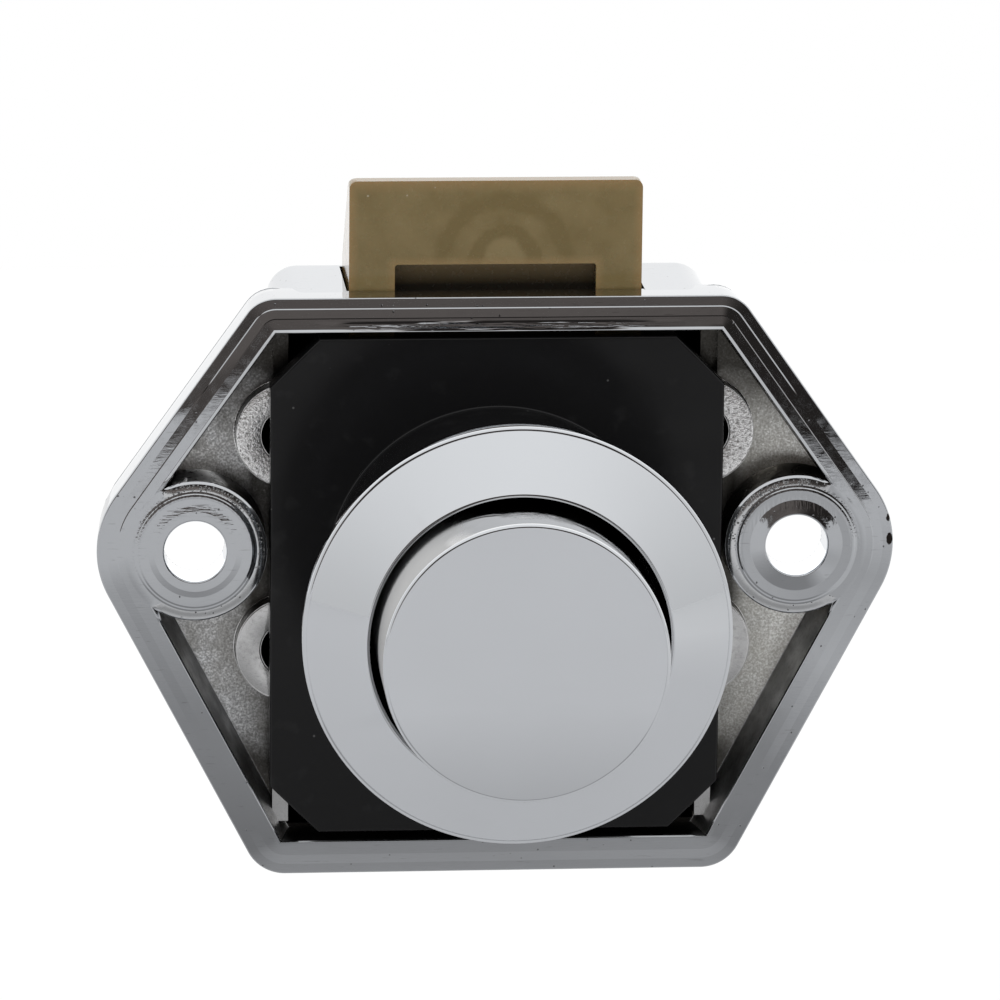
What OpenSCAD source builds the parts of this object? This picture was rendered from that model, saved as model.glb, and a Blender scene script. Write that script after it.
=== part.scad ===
// Push button cabinet lock: a chromed rim lock for a thin door, worked by a push-push knob.
// Millimetres. X is to the right, Z is up along the bolt, and Y points into the cabinet.
// The origin is on the knob's axis, in the plane of the mounting face.

/* [Case outline] */
// Height of the outline's top edge above the knob's axis
top_z = 21.25; // [20.5:0.05:22.5]
// Depth of the outline's bottom edge below the knob's axis
bottom_z = 23.55; // [23:0.05:25]
// Half the distance between the centres of the two top corners
top_corner_x = 16.7; // [16:0.1:17.5]
// Radius of the top corners
top_corner_r = 2.7; // [1:0.1:3.5]
// Half the distance between the centres of the two bottom corners
bottom_corner_x = 15.9; // [15.2:0.1:16.6]
// Radius of the bottom corners
bottom_corner_r = 3.2; // [1:0.1:4]
// Radius of the two side corners, which are centred on the fixing holes
side_corner_r = 7.4; // [7:0.1:8.5]
// Distance between the two fixing holes
hole_spacing = 45.5; // [45:0.1:47]
// Height of the fixing holes above the knob's axis
hole_z = 1.9; // [1:0.1:3]

/* [Case thickness] */
// Depth of the six-sided flange casting
flange_d = 5.5; // [5:0.1:6.5]
// Draft of the flange's edge, at its rear
flange_draft = 0.3; // [0.1:0.05:0.5]
// Depth of the whole case
case_d = 13.6; // [13.4:0.1:15]
// Thickness of the case's rear wall
rear_wall = 1.3; // [1:0.1:1.5]
// Width of the rim round the front
rim_w = 2.6; // [2.2:0.1:3]
// Width of the soft outer edge of the rim
rim_round = 1.0; // [0.5:0.1:1.2]
// Drop of the soft outer edge of the rim
rim_drop = 0.5; // [0.2:0.05:0.6]
// Width of the bevel inside the rim
rim_bevel = 0.45; // [0.2:0.05:0.7]
// Depth of the side pockets
pocket_d = 3.8; // [3.4:0.1:4.2]
// Radius of the boss round each fixing hole
hole_boss_r = 5.4; // [5:0.1:5.8]
// Radius of the fixing holes
hole_r = 2.35; // [2:0.05:2.6]
// Radius of the shallow dish in front of each fixing hole
dish_r = 4.5; // [3.5:0.1:4.9]
// Depth of the shallow dish
dish_d = 0.2; // [0.1:0.05:0.6]
// Radius of the countersink at the rear of each fixing hole
sink_r = 4.3; // [3.5:0.1:4.6]

/* [Case box] */
// Half the width of the box behind the flange
box_half_w = 16.8; // [16.6:0.1:17.2]
// Depth of the box's underside below the knob's axis
box_bottom_z = 22.0; // [21.8:0.1:22.6]
// Radius of the box's upright corners
box_corner_r = 2.3; // [1:0.1:3]
// Softening of the box's rear edges
box_round = 0.9; // [0.3:0.1:1.2]
// Thickness of the box's side walls
box_wall = 1.2; // [1:0.1:1.4]
// Height of the cavity's ceiling above the knob's axis
cavity_top_z = 18.3; // [17.5:0.1:18.5]
// Depth of the cavity's floor below the knob's axis
cavity_bottom_z = 20.6; // [20.5:0.1:20.8]
// Gap under the ledges that lie behind the plate's sides
ledge_gap = 0.6; // [0.4:0.1:1]
// Half the distance between the two columns of posts
post_x = 15.6; // [15.5:0.1:15.8]
// Half the distance between the two rows of posts
post_z = 8.35; // [8:0.05:8.6]
// Radius of the posts that carry the sleeve plate
post_r = 4.0; // [3.6:0.1:4.1]
// Radius of the hole in each post
post_hole_r = 2.1; // [1.9:0.05:2.3]
// Depth at which a post's wide hole ends
post_hole_end = 10.0; // [9:0.1:10.5]
// Width of the two ribs that guide the bolt's lower end
rib_w = 1.2; // [0.8:0.1:1.6]

/* [Sleeve plate] */
// Half the width of the black plate
plate_half_w = 17.1; // [16.9:0.1:17.3]
// Height of the plate's top edge above the knob's axis
plate_top_z = 18.1; // [17.5:0.1:18.2]
// Depth of the plate's bottom edge below the knob's axis
plate_bottom_z = 20.4; // [19.8:0.1:20.5]
// Cut of the plate's corners
plate_corner = 3.7; // [3.4:0.1:4.2]
// Set-back of the plate behind the mounting face
plate_recess = 0.5; // [0.3:0.05:0.7]
// Thickness of the plate
plate_t = 1.9; // [1.7:0.1:2.1]
// Outer radius of the sleeve, for a 26 mm hole
sleeve_r = 12.75; // [12.6:0.05:12.9]
// Wall of the sleeve
sleeve_wall = 0.8; // [0.7:0.05:0.85]
// How far the sleeve stands out from the mounting face
sleeve_l = 17.5; // [17:0.1:17.8]
// Radius of the small fillet at the sleeve's root
sleeve_fillet = 0.5; // [0.2:0.1:0.8]
// Length of the plate's pegs behind the plate
peg_l = 7.2; // [5:0.1:7.4]
// Radius of the screws' pilot holes in the pegs
pilot_r = 1.33; // [1.3:0.01:1.4]

/* [Trim ring] */
// Thickness of the door that the lock is made for
door_t = 17.15; // [16.9:0.05:17.3]
// Outer radius of the trim ring
ring_r = 15.76; // [15.2:0.02:16.5]
// Thickness of the ring's outer edge
ring_edge = 1.1; // [0.8:0.1:1.4]
// Rise of the ring's cone from its outer edge to its hole
ring_rise = 2.4; // [1.5:0.1:3]
// Radius of the ring's hole
ring_hole_r = 10.95; // [10.8:0.05:11]
// Wall of the ring's skirt
ring_wall = 0.85; // [0.7:0.05:0.9]
// Thickness of the ring's cone
ring_t = 0.95; // [0.7:0.05:1.1]
// Length of the ring's skirt behind the door's face
skirt_l = 6.0; // [5:0.1:6.3]
// Number of crush ribs on the ring's skirt
crush_ribs = 8; // [4:1:12]

/* [Knob] */
// Radius of the knob's cap
knob_r = 10.4; // [10.2:0.05:10.6]
// How far the knob's face stands out from the mounting face
knob_out = 25.75; // [25.3:0.05:26.5]
// Length of the knob's cap
knob_l = 11.0; // [10.5:0.1:11.5]
// Wall of the knob's cap
knob_wall = 0.7; // [0.5:0.05:0.8]
// Thickness of the knob's face
knob_face = 0.9; // [0.7:0.1:1.2]
// Chamfer round the knob's face
knob_chamfer = 0.35; // [0.1:0.05:0.6]
// Thickness of the core's disc behind the knob's face
core_disc = 2.05; // [1.8:0.05:2.4]
// Length of the core
core_l = 6.5; // [6:0.1:7]
// Wall of the core's rim
core_wall = 1.2; // [0.9:0.1:1.3]
// Radius of the core's hub
hub_r = 5.2; // [5:0.1:5.4]
// Length of the core's hub
hub_l = 3.0; // [2:0.1:4]

/* [Plunger] */
// Radius of the plunger's stem
stem_r = 4.0; // [3.8:0.05:4.2]
// Depth behind the mounting face at which the stem ends
stem_end = 1.45; // [1.3:0.05:1.6]
// Radius of the plunger's tail, which locks the bolt
tail_r = 2.5; // [2.3:0.05:2.6]
// How far the locked tail stays short of the bolt's rear
tail_gap = 0.1; // [0.05:0.05:0.3]
// Height of the flat under the stem, measured from the axis
flat_z = 3.2; // [3:0.05:3.4]
// Width of the cam track in the flat
track_w = 1.3; // [1.2:0.05:1.4]
// Depth of the cam track in the flat
track_d = 1.0; // [0.8:0.05:1.1]
// Radius of the groove that holds the retaining clip
groove_r = 2.0; // [1.9:0.05:2.1]
// Thickness of the retaining clip
clip_t = 0.6; // [0.5:0.05:0.65]
// Outer radius of the retaining clip and of the rubber buffer
clip_r = 4.65; // [4.5:0.05:4.7]
// Thickness of the rubber buffer
buffer_t = 0.65; // [0.5:0.05:0.75]
// Radius of the core screw's shank
core_screw_r = 1.2; // [1.1:0.05:1.4]
// Radius of the core screw's head
core_screw_head_r = 2.6; // [2.3:0.1:2.8]
// Length of the core screw below its head
core_screw_l = 9.0; // [7:0.5:10]

/* [Puller] */
// Outer radius of the puller's front barrel
puller_r = 7.55; // [7.45:0.05:7.6]
// Outer radius of the puller's rear barrel
barrel_r = 5.9; // [5.8:0.05:6]
// How far the puller stands in front of the mounting face
puller_front = 9.5; // [9.3:0.1:9.8]
// Depth behind the mounting face of the step between the barrels
puller_step = 1.2; // [1:0.05:1.3]
// Gap between the puller and the bolt's rear wall
puller_gap = 0.25; // [0.2:0.01:0.3]
// Thickness of the puller's closed end
puller_base = 2.85; // [2.75:0.05:2.95]
// Radius of the chamber that the clip moves in
chamber_r = 4.9; // [4.85:0.05:5]
// Radius of the pull pins
pin_r = 0.9; // [0.8:0.05:0.95]
// Distance from the puller's end to the pull pins' axis
pin_inset = 1.15; // [1.1:0.05:1.25]
// Distance from the axis to a pull pin's outer end
pin_end_x = 10.6; // [10:0.1:10.9]

/* [Cam follower] */
// Radius of the follower's wire
wire_r = 0.45; // [0.35:0.05:0.45]
// Distance from the follower's pivot to its tip
follower_l = 6.5; // [6.3:0.1:6.6]
// How far the follower's pivot lies in front of the mounting face
follower_y = 1.5; // [1.4:0.1:1.6]
// Height of the follower's arm, below the axis
arm_z = 5.7; // [5.65:0.01:5.75]
// Half the width of the follower's slot in the puller
slot_half_w = 2.1; // [2:0.05:2.3]
// Thickness of the leaf spring
leaf_t = 0.25; // [0.2:0.05:0.3]
// Depth of the leaf spring's end in the puller
leaf_grip = 1.5; // [1:0.1:1.6]
// Sideways distance of the cam track's latching corner from its start
latch_x = 1.1; // [1:0.05:1.15]

/* [Slider guide] */
// Outer radius of the guide's front tube
guide_r = 8.85; // [8.7:0.05:8.95]
// How far the guide stands in front of the mounting face
guide_front = 13.0; // [12.5:0.1:13]
// Half the width of the guide's flange
guide_flange_x = 11.0; // [10.5:0.1:11.2]
// Half the height of the guide's flange
guide_flange_z = 15.0; // [14:0.1:15.5]
// Half the width of the guide's rear block
block_half_w = 7.3; // [7.1:0.05:7.35]
// Height of the block's top, the seat of the bolt springs
block_top_z = 7.8; // [7.5:0.1:8]
// Depth of the block's underside below the axis
block_bottom_z = 7.9; // [7.5:0.05:7.9]

/* [Bolt] */
// Width of the bolt
bolt_w = 22.1; // [21.5:0.1:22.3]
// Height of the bolt's top above the knob's axis
bolt_top_z = 29.4; // [29:0.1:29.6]
// Depth of the bolt's lower end below the knob's axis
bolt_bottom_z = 12.0; // [11.5:0.1:12.2]
// Depth of the bolt's front face behind the mounting face
bolt_front = 3.9; // [3.85:0.05:4]
// Width of the flat land on the bolt's top
bolt_land = 1.3; // [1:0.1:2.6]
// Height at which the bolt's bevel ends
bevel_end_z = 22.0; // [21.5:0.1:22.5]
// Width of the notch in the bolt's front
notch_w = 15.2; // [15:0.1:15.5]
// Height of the notch's top above the knob's axis
notch_top_z = 23.0; // [22:0.1:24]
// Depth of the notch
notch_d = 1.6; // [1.2:0.1:1.7]
// Thickness of the web behind the notch
web_t = 1.0; // [0.8:0.1:1.1]
// Height of the web's lower edge above the knob's axis
web_bottom_z = 16.3; // [16.2:0.1:17]
// Height of the spring chamber's ceiling above the knob's axis
chamber_top_z = 20.5; // [20:0.1:20.7]
// Thickness of the bolt's rear wall
bolt_rear_wall = 0.9; // [0.8:0.05:0.9]
// Radius of the bolt's corners
bolt_corner_r = 0.6; // [0.2:0.1:1]
// Radius of the hole that the plunger's tail locks into
lock_hole_r = 2.8; // [2.7:0.05:3]
// Wall of the bolt in front of the pull pins' slot
slot_land = 0.9; // [0.9:0.05:1.1]

/* [Springs] */
// Clearance round a bolt spring in its chamber
spring_room = 0.28; // [0.2:0.01:0.3]
// Radius of a bolt spring's wire
bolt_spring_wire = 0.22; // [0.15:0.01:0.24]
// Turns of a bolt spring
bolt_spring_turns = 8; // [5:1:9]
// Half the distance between the two bolt springs
bolt_spring_x = 3.7; // [3.5:0.1:4]
// Clearance between a bolt spring and its pegs
peg_room = 0.33; // [0.2:0.01:0.6]
// Height of the pegs that hold the bolt springs
spring_peg_h = 1.4; // [0.8:0.1:1.5]
// Mean radius of the knob spring
knob_spring_r = 6.2; // [6.15:0.01:6.25]
// Radius of the knob spring's wire
knob_spring_wire = 0.45; // [0.3:0.01:0.5]
// Turns of the knob spring
knob_spring_turns = 7; // [4:1:8]
// Thickness of the washer under the knob spring
washer_t = 0.5; // [0.4:0.05:0.6]

/* [Travel] */
// How far the knob is pressed in to lock
press_travel = 5.0; // [4.5:0.05:5]
// How far the bolt is drawn back
bolt_travel = 8.1; // [7.5:0.05:8.1]

/* [Plate screws] */
// Radius of a plate screw's shank
plate_screw_r = 1.3; // [1.2:0.01:1.31]
// Radius of a plate screw's head
plate_screw_head_r = 2.6; // [2.2:0.1:2.7]
// Height of a plate screw's head
plate_screw_head_h = 1.2; // [0.9:0.1:1.3]
// Length of a plate screw below its head
plate_screw_l = 7.0; // [6:0.1:7.5]

/* [Fits] */
// Radial clearance of a running fit
run_fit = 0.1; // [0.05:0.01:0.15]
// Clearance of a seated piece
seat_gap = 0.05; // [0.02:0.01:0.1]
// Clearance between the bolt and its slot
bolt_gap = 0.2; // [0.15:0.05:0.3]

/* [Hidden] */

big_fn = 128;
mid_fn = 64;
hull_fn = 32;
eps = 0.01;

hole_x = hole_spacing / 2;
corners = [
    [top_corner_x, top_z - top_corner_r, top_corner_r],
    [-top_corner_x, top_z - top_corner_r, top_corner_r],
    [-hole_x, hole_z, side_corner_r],
    [-bottom_corner_x, bottom_corner_r - bottom_z, bottom_corner_r],
    [bottom_corner_x, bottom_corner_r - bottom_z, bottom_corner_r],
    [hole_x, hole_z, side_corner_r]
];
corner_count = len(corners);
cavity_half_w = box_half_w - box_wall;
cavity_rear = case_d - rear_wall;
plate_rear = plate_recess + plate_t;
sleeve_bore_r = sleeve_r - sleeve_wall;
ring_face = door_t + ring_edge;
skirt_r = ring_hole_r + ring_wall;
knob_front = -knob_out;
core_front = knob_front + knob_face + seat_gap;
core_r = knob_r - knob_wall - seat_gap;
disc_rear = core_front + core_disc;
groove_start = stem_end + buffer_t + 3 * seat_gap;
follower_tip = -follower_y - follower_l;
bore_r = stem_r + run_fit;
slide_r = puller_r + run_fit;
bolt_rear = cavity_rear - bolt_gap;
bolt_half_w = bolt_w / 2;
wall_front = bolt_rear - bolt_rear_wall;
tail_end = bolt_rear - press_travel - tail_gap;
puller_end = wall_front - puller_gap;
chamber_end = puller_end - puller_base;
pin_y = puller_end - pin_inset;
pull_travel = pin_y - pin_r - run_fit - slot_land - bolt_front;
block_end = puller_end - seat_gap;
web_front = bolt_front + notch_d;
web_rear = web_front + web_t;
bolt_spring_y = (web_rear + wall_front) / 2;
bolt_spring_r = (wall_front - web_rear) / 2 - spring_room - bolt_spring_wire;
spring_peg_r = bolt_spring_r - bolt_spring_wire - peg_room;
post_places = [for (x = [-post_x, post_x], z = [-post_z, post_z]) [x, hole_z + z]];
washer_front = -puller_front - washer_t - seat_gap;

// Direction of the outward normal of the straight edge between two corner circles
function edge_angle(a, b) = atan2(b[1] - a[1], b[0] - a[0])
    - acos((a[2] - b[2]) / norm([b[0] - a[0], b[1] - a[1]]));
function edge_angles() = [for (i = [0:corner_count - 1])
    edge_angle(corners[i], corners[(i + 1) % corner_count])];
function on_circle(c, angle, inset) = [c[0], c[1]] + (c[2] - inset) * [cos(angle), sin(angle)];
// Points where the straight edges leave and meet the corner circles
function tangent_points(inset) = [for (i = [0:corner_count - 1], end = [0, 1])
    on_circle(corners[(i + end) % corner_count], edge_angles()[i], inset)];
function edge_distance(i) = corners[i][2]
    + corners[i][0] * cos(edge_angles()[i]) + corners[i][1] * sin(edge_angles()[i]);
// Point where two edges meet, given their normals' directions and distances
function meet(a, da, b, db) = [da * sin(b) - db * sin(a), db * cos(a) - da * cos(b)] / sin(b - a);
function sharp_outline(inset) = [for (i = [0:corner_count - 1])
    let (h = (i + corner_count - 1) % corner_count)
    meet(edge_angles()[h], edge_distance(h) - inset, edge_angles()[i], edge_distance(i) - inset)];

// Points on the centre line of a coil that rises along Z
function coil_path(r, rise, turns, per_turn) = [for (i = [0:turns * per_turn])
    [r * cos(360 * i / per_turn), r * sin(360 * i / per_turn), rise * i / (turns * per_turn)]];
function ring_points(c, wire, sides) = [for (k = [0:sides - 1])
    let (out = [c[0], c[1], 0] / norm([c[0], c[1]]), t = 360 * k / sides)
    c + wire * (cos(t) * out + sin(t) * [0, 0, 1])];
// Least gap between parts of a coil that lie half a turn or more apart
function coil_gap(path, wire, per_turn) = min([for (i = [0:len(path) - 1])
    for (j = [i + per_turn / 2:1:len(path) - 1]) norm(path[i] - path[j])]) - 2 * wire;

// A flat shape in X and Z, made solid from one depth to another
module slab(from, to) {
    translate([0, to, 0])
        rotate([90, 0, 0])
            linear_extrude(to - from)
                children();
}

// A solid of revolution about the knob's axis, from points of radius and depth
module lathe(points, fn = mid_fn) {
    rotate([-90, 0, 0])
        rotate_extrude($fn = fn)
            polygon(points);
}

// A round bar along the depth
module bar_y(r, from, to, x = 0, z = 0, fn = mid_fn) {
    translate([x, from, z])
        rotate([-90, 0, 0])
            cylinder(r = r, h = to - from, $fn = fn);
}

// A round bar along X
module bar_x(r, from, to, y = 0, z = 0) {
    translate([from, y, z])
        rotate([0, 90, 0])
            cylinder(r = r, h = to - from, $fn = mid_fn);
}

module box(low, high) {
    translate(low)
        cube(high - low);
}

module both_sides() {
    for (side = [0, 1])
        mirror([side, 0, 0])
            children();
}

module case_outline(inset = 0, fn = mid_fn) {
    polygon(tangent_points(inset));
    for (c = corners)
        translate([c[0], c[1]])
            circle(r = c[2] - inset, $fn = fn);
}

module round_rect(half_w, low, high, r, fn = mid_fn) {
    for (x = [-half_w + r, half_w - r], z = [low + r, high - r])
        translate([x, z])
            circle(r = r, $fn = fn);
    translate([-half_w + r, low])
        square([2 * (half_w - r), high - low]);
    translate([-half_w, low + r])
        square([2 * half_w, high - low - 2 * r]);
}

module box_outline(inset = 0) {
    round_rect(box_half_w - inset, inset - box_bottom_z, top_z - flange_draft / 2 - inset,
        box_corner_r, hull_fn);
}

// The six-sided flange, with a soft front edge and a drafted side
module flange_body() {
    hull() {
        slab(0, eps) case_outline(rim_round, hull_fn);
        slab(rim_drop / 4, rim_drop / 4 + eps) case_outline(rim_round / 3, hull_fn);
        slab(rim_drop, rim_drop + eps) case_outline(0, hull_fn);
        slab(flange_d - eps, flange_d) case_outline(flange_draft, hull_fn);
    }
}

module box_body() {
    hull() {
        slab(flange_d - 1, case_d - box_round) box_outline();
        slab(case_d - box_round / 3 - eps, case_d - box_round / 3) box_outline(box_round / 3);
        slab(case_d - eps, case_d) box_outline(box_round);
    }
}

// The recess inside the rim, with its bevel, up to the bosses of the fixing holes
module pocket() {
    boss_cut = hole_x + hole_boss_r / 2;
    difference() {
        union() {
            slab(0, pocket_d) polygon(sharp_outline(rim_w));
            hull() {
                slab(-eps, 0) polygon(sharp_outline(rim_w - rim_bevel));
                slab(rim_bevel, rim_bevel + eps) polygon(sharp_outline(rim_w));
            }
        }
        both_sides() {
            bar_y(hole_boss_r, -1, flange_d, hole_x, hole_z);
            box([boss_cut, -1, -bottom_z], [hole_x + side_corner_r, flange_d, top_z]);
        }
    }
}

module fixing_hole() {
    translate([hole_x, 0, hole_z])
        lathe([[0, -1], [dish_r, -1], [dish_r, dish_d / 2], [hole_r, dish_d],
            [hole_r, flange_d - (sink_r - hole_r)], [sink_r, flange_d], [sink_r, case_d],
            [0, case_d]]);
}

module post_bores() {
    for (p = post_places) {
        bar_y(post_hole_r, 0, post_hole_end, p[0], p[1]);
        bar_y(plate_screw_r + 3 * run_fit, 0, case_d, p[0], p[1]);
        bar_y(plate_screw_head_r + 3 * run_fit, case_d - rear_wall - run_fit, case_d + 1, p[0], p[1]);
    }
}

module housing() {
    rib_x = bolt_half_w + bolt_gap + seat_gap;
    color("gainsboro")
        difference() {
            union() {
                difference() {
                    union() {
                        flange_body();
                        box_body();
                    }
                    pocket();
                    box([-cavity_half_w, -1, -cavity_bottom_z], [cavity_half_w, cavity_rear, cavity_top_z]);
                }
                for (p = post_places)
                    bar_y(post_r, plate_rear, case_d, p[0], p[1]);
                both_sides() {
                    box([cavity_half_w, plate_rear, ledge_gap - cavity_bottom_z],
                        [box_half_w, flange_d, hole_z + post_z]);
                    box([rib_x, bolt_front, -cavity_bottom_z - eps],
                        [rib_x + rib_w, cavity_rear + eps, hole_z - post_z - post_r / 2]);
                }
            }
            box([-bolt_half_w - bolt_gap, bolt_front - bolt_gap, 0],
                [bolt_half_w + bolt_gap, cavity_rear, top_z + 1]);
            both_sides() fixing_hole();
            post_bores();
        }
}

module plate_outline() {
    x = plate_half_w;
    c = plate_corner;
    polygon([[x - c, plate_top_z], [c - x, plate_top_z], [-x, plate_top_z - c],
        [-x, c - plate_bottom_z], [c - x, -plate_bottom_z], [x - c, -plate_bottom_z],
        [x, c - plate_bottom_z], [x, plate_top_z - c]]);
}

module sleeve_plate() {
    peg_end = plate_rear + peg_l;
    pilot_end = case_d - rear_wall - plate_screw_l - plate_screw_r / 2;
    color([0.06, 0.06, 0.07])
        difference() {
            union() {
                slab(plate_recess, plate_rear) plate_outline();
                lathe([[sleeve_bore_r, plate_rear], [sleeve_bore_r, -sleeve_l],
                    [sleeve_r - sleeve_fillet, -sleeve_l], [sleeve_r, sleeve_fillet - sleeve_l],
                    [sleeve_r, plate_recess - sleeve_fillet],
                    [sleeve_r + sleeve_fillet, plate_recess], [sleeve_r + sleeve_fillet, plate_rear]],
                    big_fn);
                for (p = post_places)
                    bar_y(post_hole_r - seat_gap, plate_rear - eps, peg_end, p[0], p[1]);
            }
            bar_y(guide_r + seat_gap, plate_recess - 1, plate_rear + 1);
            for (p = post_places)
                bar_y(pilot_r, pilot_end, peg_end + 1, p[0], p[1]);
        }
}

module plate_screw() {
    seat = case_d - rear_wall;
    cross_w = plate_screw_head_r / 4;
    cross_l = plate_screw_head_r * 0.6;
    difference() {
        lathe([[0, seat - plate_screw_l], [plate_screw_r / 2, seat - plate_screw_l],
            [plate_screw_r, seat - plate_screw_l + plate_screw_r], [plate_screw_r, seat],
            [plate_screw_head_r, seat], [plate_screw_head_r, seat + plate_screw_head_h / 2],
            [plate_screw_head_r * 0.8, seat + plate_screw_head_h], [0, seat + plate_screw_head_h]]);
        for (turn = [0, 90])
            rotate([0, turn, 0])
                box([-cross_l, seat + plate_screw_head_h / 3, -cross_w], [cross_l, case_d + 1, cross_w]);
    }
}

module plate_screws() {
    color("silver")
        for (p = post_places)
            translate([p[0], 0, p[1]])
                plate_screw();
}

module slider_guide() {
    pin_slot = pin_r + run_fit;
    flange_rear = bolt_front - bolt_gap;
    color("whitesmoke")
        difference() {
            union() {
                bar_y(guide_r, -guide_front, plate_rear + eps);
                box([-guide_flange_x, plate_rear, -guide_flange_z],
                    [guide_flange_x, flange_rear, guide_flange_z]);
                box([-block_half_w, plate_rear, -block_bottom_z], [block_half_w, block_end, block_top_z]);
                for (x = [-bolt_spring_x, bolt_spring_x])
                    translate([x, bolt_spring_y, block_top_z - eps])
                        cylinder(r = spring_peg_r, h = spring_peg_h, $fn = hull_fn);
            }
            bar_y(slide_r, -guide_front - 1, puller_step + run_fit, fn = big_fn);
            bar_y(barrel_r + run_fit, -guide_front, case_d, fn = big_fn);
            box([-block_half_w - 1, pin_y - pull_travel - pin_slot, -pin_slot],
                [block_half_w + 1, case_d, pin_slot]);
        }
}

module trim_ring() {
    lip = ring_face + ring_rise;
    soft = ring_wall / 2;
    slope = ring_rise / (ring_r - ring_hole_r);
    edge_wall = ring_t;
    color("gainsboro") {
        lathe([[ring_r - edge_wall, -door_t], [ring_r, -door_t], [ring_r, soft / 2 - ring_face],
            [ring_r - soft, -ring_face - soft * slope / 2], [ring_hole_r + soft, -lip],
            [ring_hole_r, soft - lip], [ring_hole_r, skirt_l - door_t], [skirt_r, skirt_l - door_t],
            [skirt_r, ring_t * 1.2 - lip + ring_wall * slope],
            [ring_r - edge_wall, ring_t * 1.2 - ring_face - edge_wall * slope]], big_fn);
        for (i = [0:crush_ribs - 1])
            rotate([0, i * 360 / crush_ribs, 0])
                bar_y(ring_wall / 3, 1 - door_t, skirt_l - door_t,
                    sleeve_bore_r - ring_wall / 3 - seat_gap / 2, 0, 24);
    }
}

module knob_cap() {
    inner = knob_r - knob_wall;
    color("gainsboro")
        lathe([[0, knob_front], [knob_r - knob_chamfer, knob_front], [knob_r, knob_front + knob_chamfer],
            [knob_r, knob_front + knob_l], [inner, knob_front + knob_l],
            [inner, knob_front + knob_face], [0, knob_front + knob_face]], big_fn);
}

module knob_core() {
    head_seat = disc_rear - core_disc / 3;
    color([0.12, 0.12, 0.13])
        difference() {
            lathe([[0, core_front], [core_r, core_front], [core_r, core_front + core_l],
                [core_r - core_wall, core_front + core_l], [core_r - core_wall, disc_rear],
                [hub_r, disc_rear], [hub_r, disc_rear + hub_l], [0, disc_rear + hub_l]], big_fn);
            bar_y(stem_r + seat_gap, disc_rear, disc_rear + hub_l + 1);
            bar_y(core_screw_r + seat_gap, core_front - 1, disc_rear + 1);
            bar_y(core_screw_head_r + seat_gap, core_front - 1, head_seat);
        }
}

module core_screw() {
    seat = disc_rear - core_disc / 3;
    head_h = core_disc / 2;
    end = seat + core_screw_l;
    color("silver")
        difference() {
            lathe([[0, seat - head_h], [core_screw_head_r * 0.8, seat - head_h],
                [core_screw_head_r, seat - head_h / 2], [core_screw_head_r, seat],
                [core_screw_r, seat], [core_screw_r, end - core_screw_r], [0, end]]);
            for (turn = [0, 90])
                rotate([0, turn, 0])
                    box([-core_screw_r, core_front - 1, -core_screw_r / 3],
                        [core_screw_r, seat - head_h / 3, core_screw_r / 3]);
        }
}

// Outline of the closed cam track: a groove round a four-sided island
module track_outline() {
    high = follower_tip - press_travel;
    middle = [[0, follower_tip], [latch_x, high], [latch_x / 4, high - track_w],
        [-latch_x, high + track_w / 3]];
    difference() {
        offset(r = track_w / 2, $fn = hull_fn)
            polygon(middle);
        offset(delta = -track_w / 2)
            polygon(middle);
    }
}

module cam_track() {
    translate([0, 0, -stem_r - 1])
        linear_extrude(stem_r + 1 + track_d - flat_z)
            track_outline();
}

module plunger() {
    start = disc_rear + seat_gap;
    soft = tail_r / 4;
    flat_front = follower_tip - press_travel - 2;
    color("ivory")
        difference() {
            lathe([[0, start], [stem_r, start], [stem_r, stem_end], [tail_r, stem_end],
                [tail_r, groove_start - seat_gap], [groove_r, groove_start - seat_gap],
                [groove_r, groove_start + clip_t + seat_gap],
                [tail_r, groove_start + clip_t + seat_gap], [tail_r, tail_end - soft],
                [tail_r - soft, tail_end], [0, tail_end]]);
            bar_y(core_screw_r + seat_gap, start - 1, start + core_screw_l);
            box([-stem_r, flat_front, -stem_r - 1], [stem_r, stem_end + eps, -flat_z]);
            cam_track();
        }
}

module rubber_buffer() {
    start = stem_end + seat_gap * 2;
    color([0.15, 0.15, 0.15])
        lathe([[tail_r + seat_gap, start], [clip_r, start], [clip_r, start + buffer_t],
            [tail_r + seat_gap, start + buffer_t]]);
}

module retaining_clip() {
    color("dimgray")
        difference() {
            lathe([[groove_r + seat_gap, groove_start], [clip_r, groove_start],
                [clip_r, groove_start + clip_t], [groove_r + seat_gap, groove_start + clip_t]]);
            box([-groove_r * 0.8, 0, groove_r / 2], [groove_r * 0.8, case_d, clip_r + 1]);
        }
}

// One unbroken tube wound along a coil
module coil_tube(path, wire, sides) {
    rings = len(path);
    last = (rings - 1) * sides;
    points = [for (c = path) each ring_points(c, wire, sides)];
    walls = [for (i = [0:rings - 2], k = [0:sides - 1])
        let (a = i * sides + k, b = i * sides + (k + 1) % sides)
        each [[a, a + sides, b], [b, a + sides, b + sides]]];
    start_cap = [for (k = [1:sides - 2]) [0, k, k + 1]];
    end_cap = [for (k = [1:sides - 2]) [last, last + k + 1, last + k]];
    polyhedron(points, concat(walls, start_cap, end_cap));
}

module spring(name, r, wire, length, turns) {
    per_turn = 8;
    path = coil_path(r, length - 2 * (wire + seat_gap), turns, per_turn);
    echo(spring = name, least_gap = coil_gap(path, wire, per_turn));
    color("lightsteelblue")
        translate([0, 0, wire + seat_gap])
            coil_tube(path, wire, 6);
}

module knob_spring() {
    start = disc_rear;
    translate([0, start, 0])
        rotate([-90, 0, 0])
            spring("knob", knob_spring_r, knob_spring_wire, washer_front - start, knob_spring_turns);
}

module thrust_washer() {
    color("silver")
        lathe([[bore_r + seat_gap, washer_front], [puller_r - seat_gap, washer_front],
            [puller_r - seat_gap, washer_front + washer_t], [bore_r + seat_gap, washer_front + washer_t]]);
}

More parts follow.
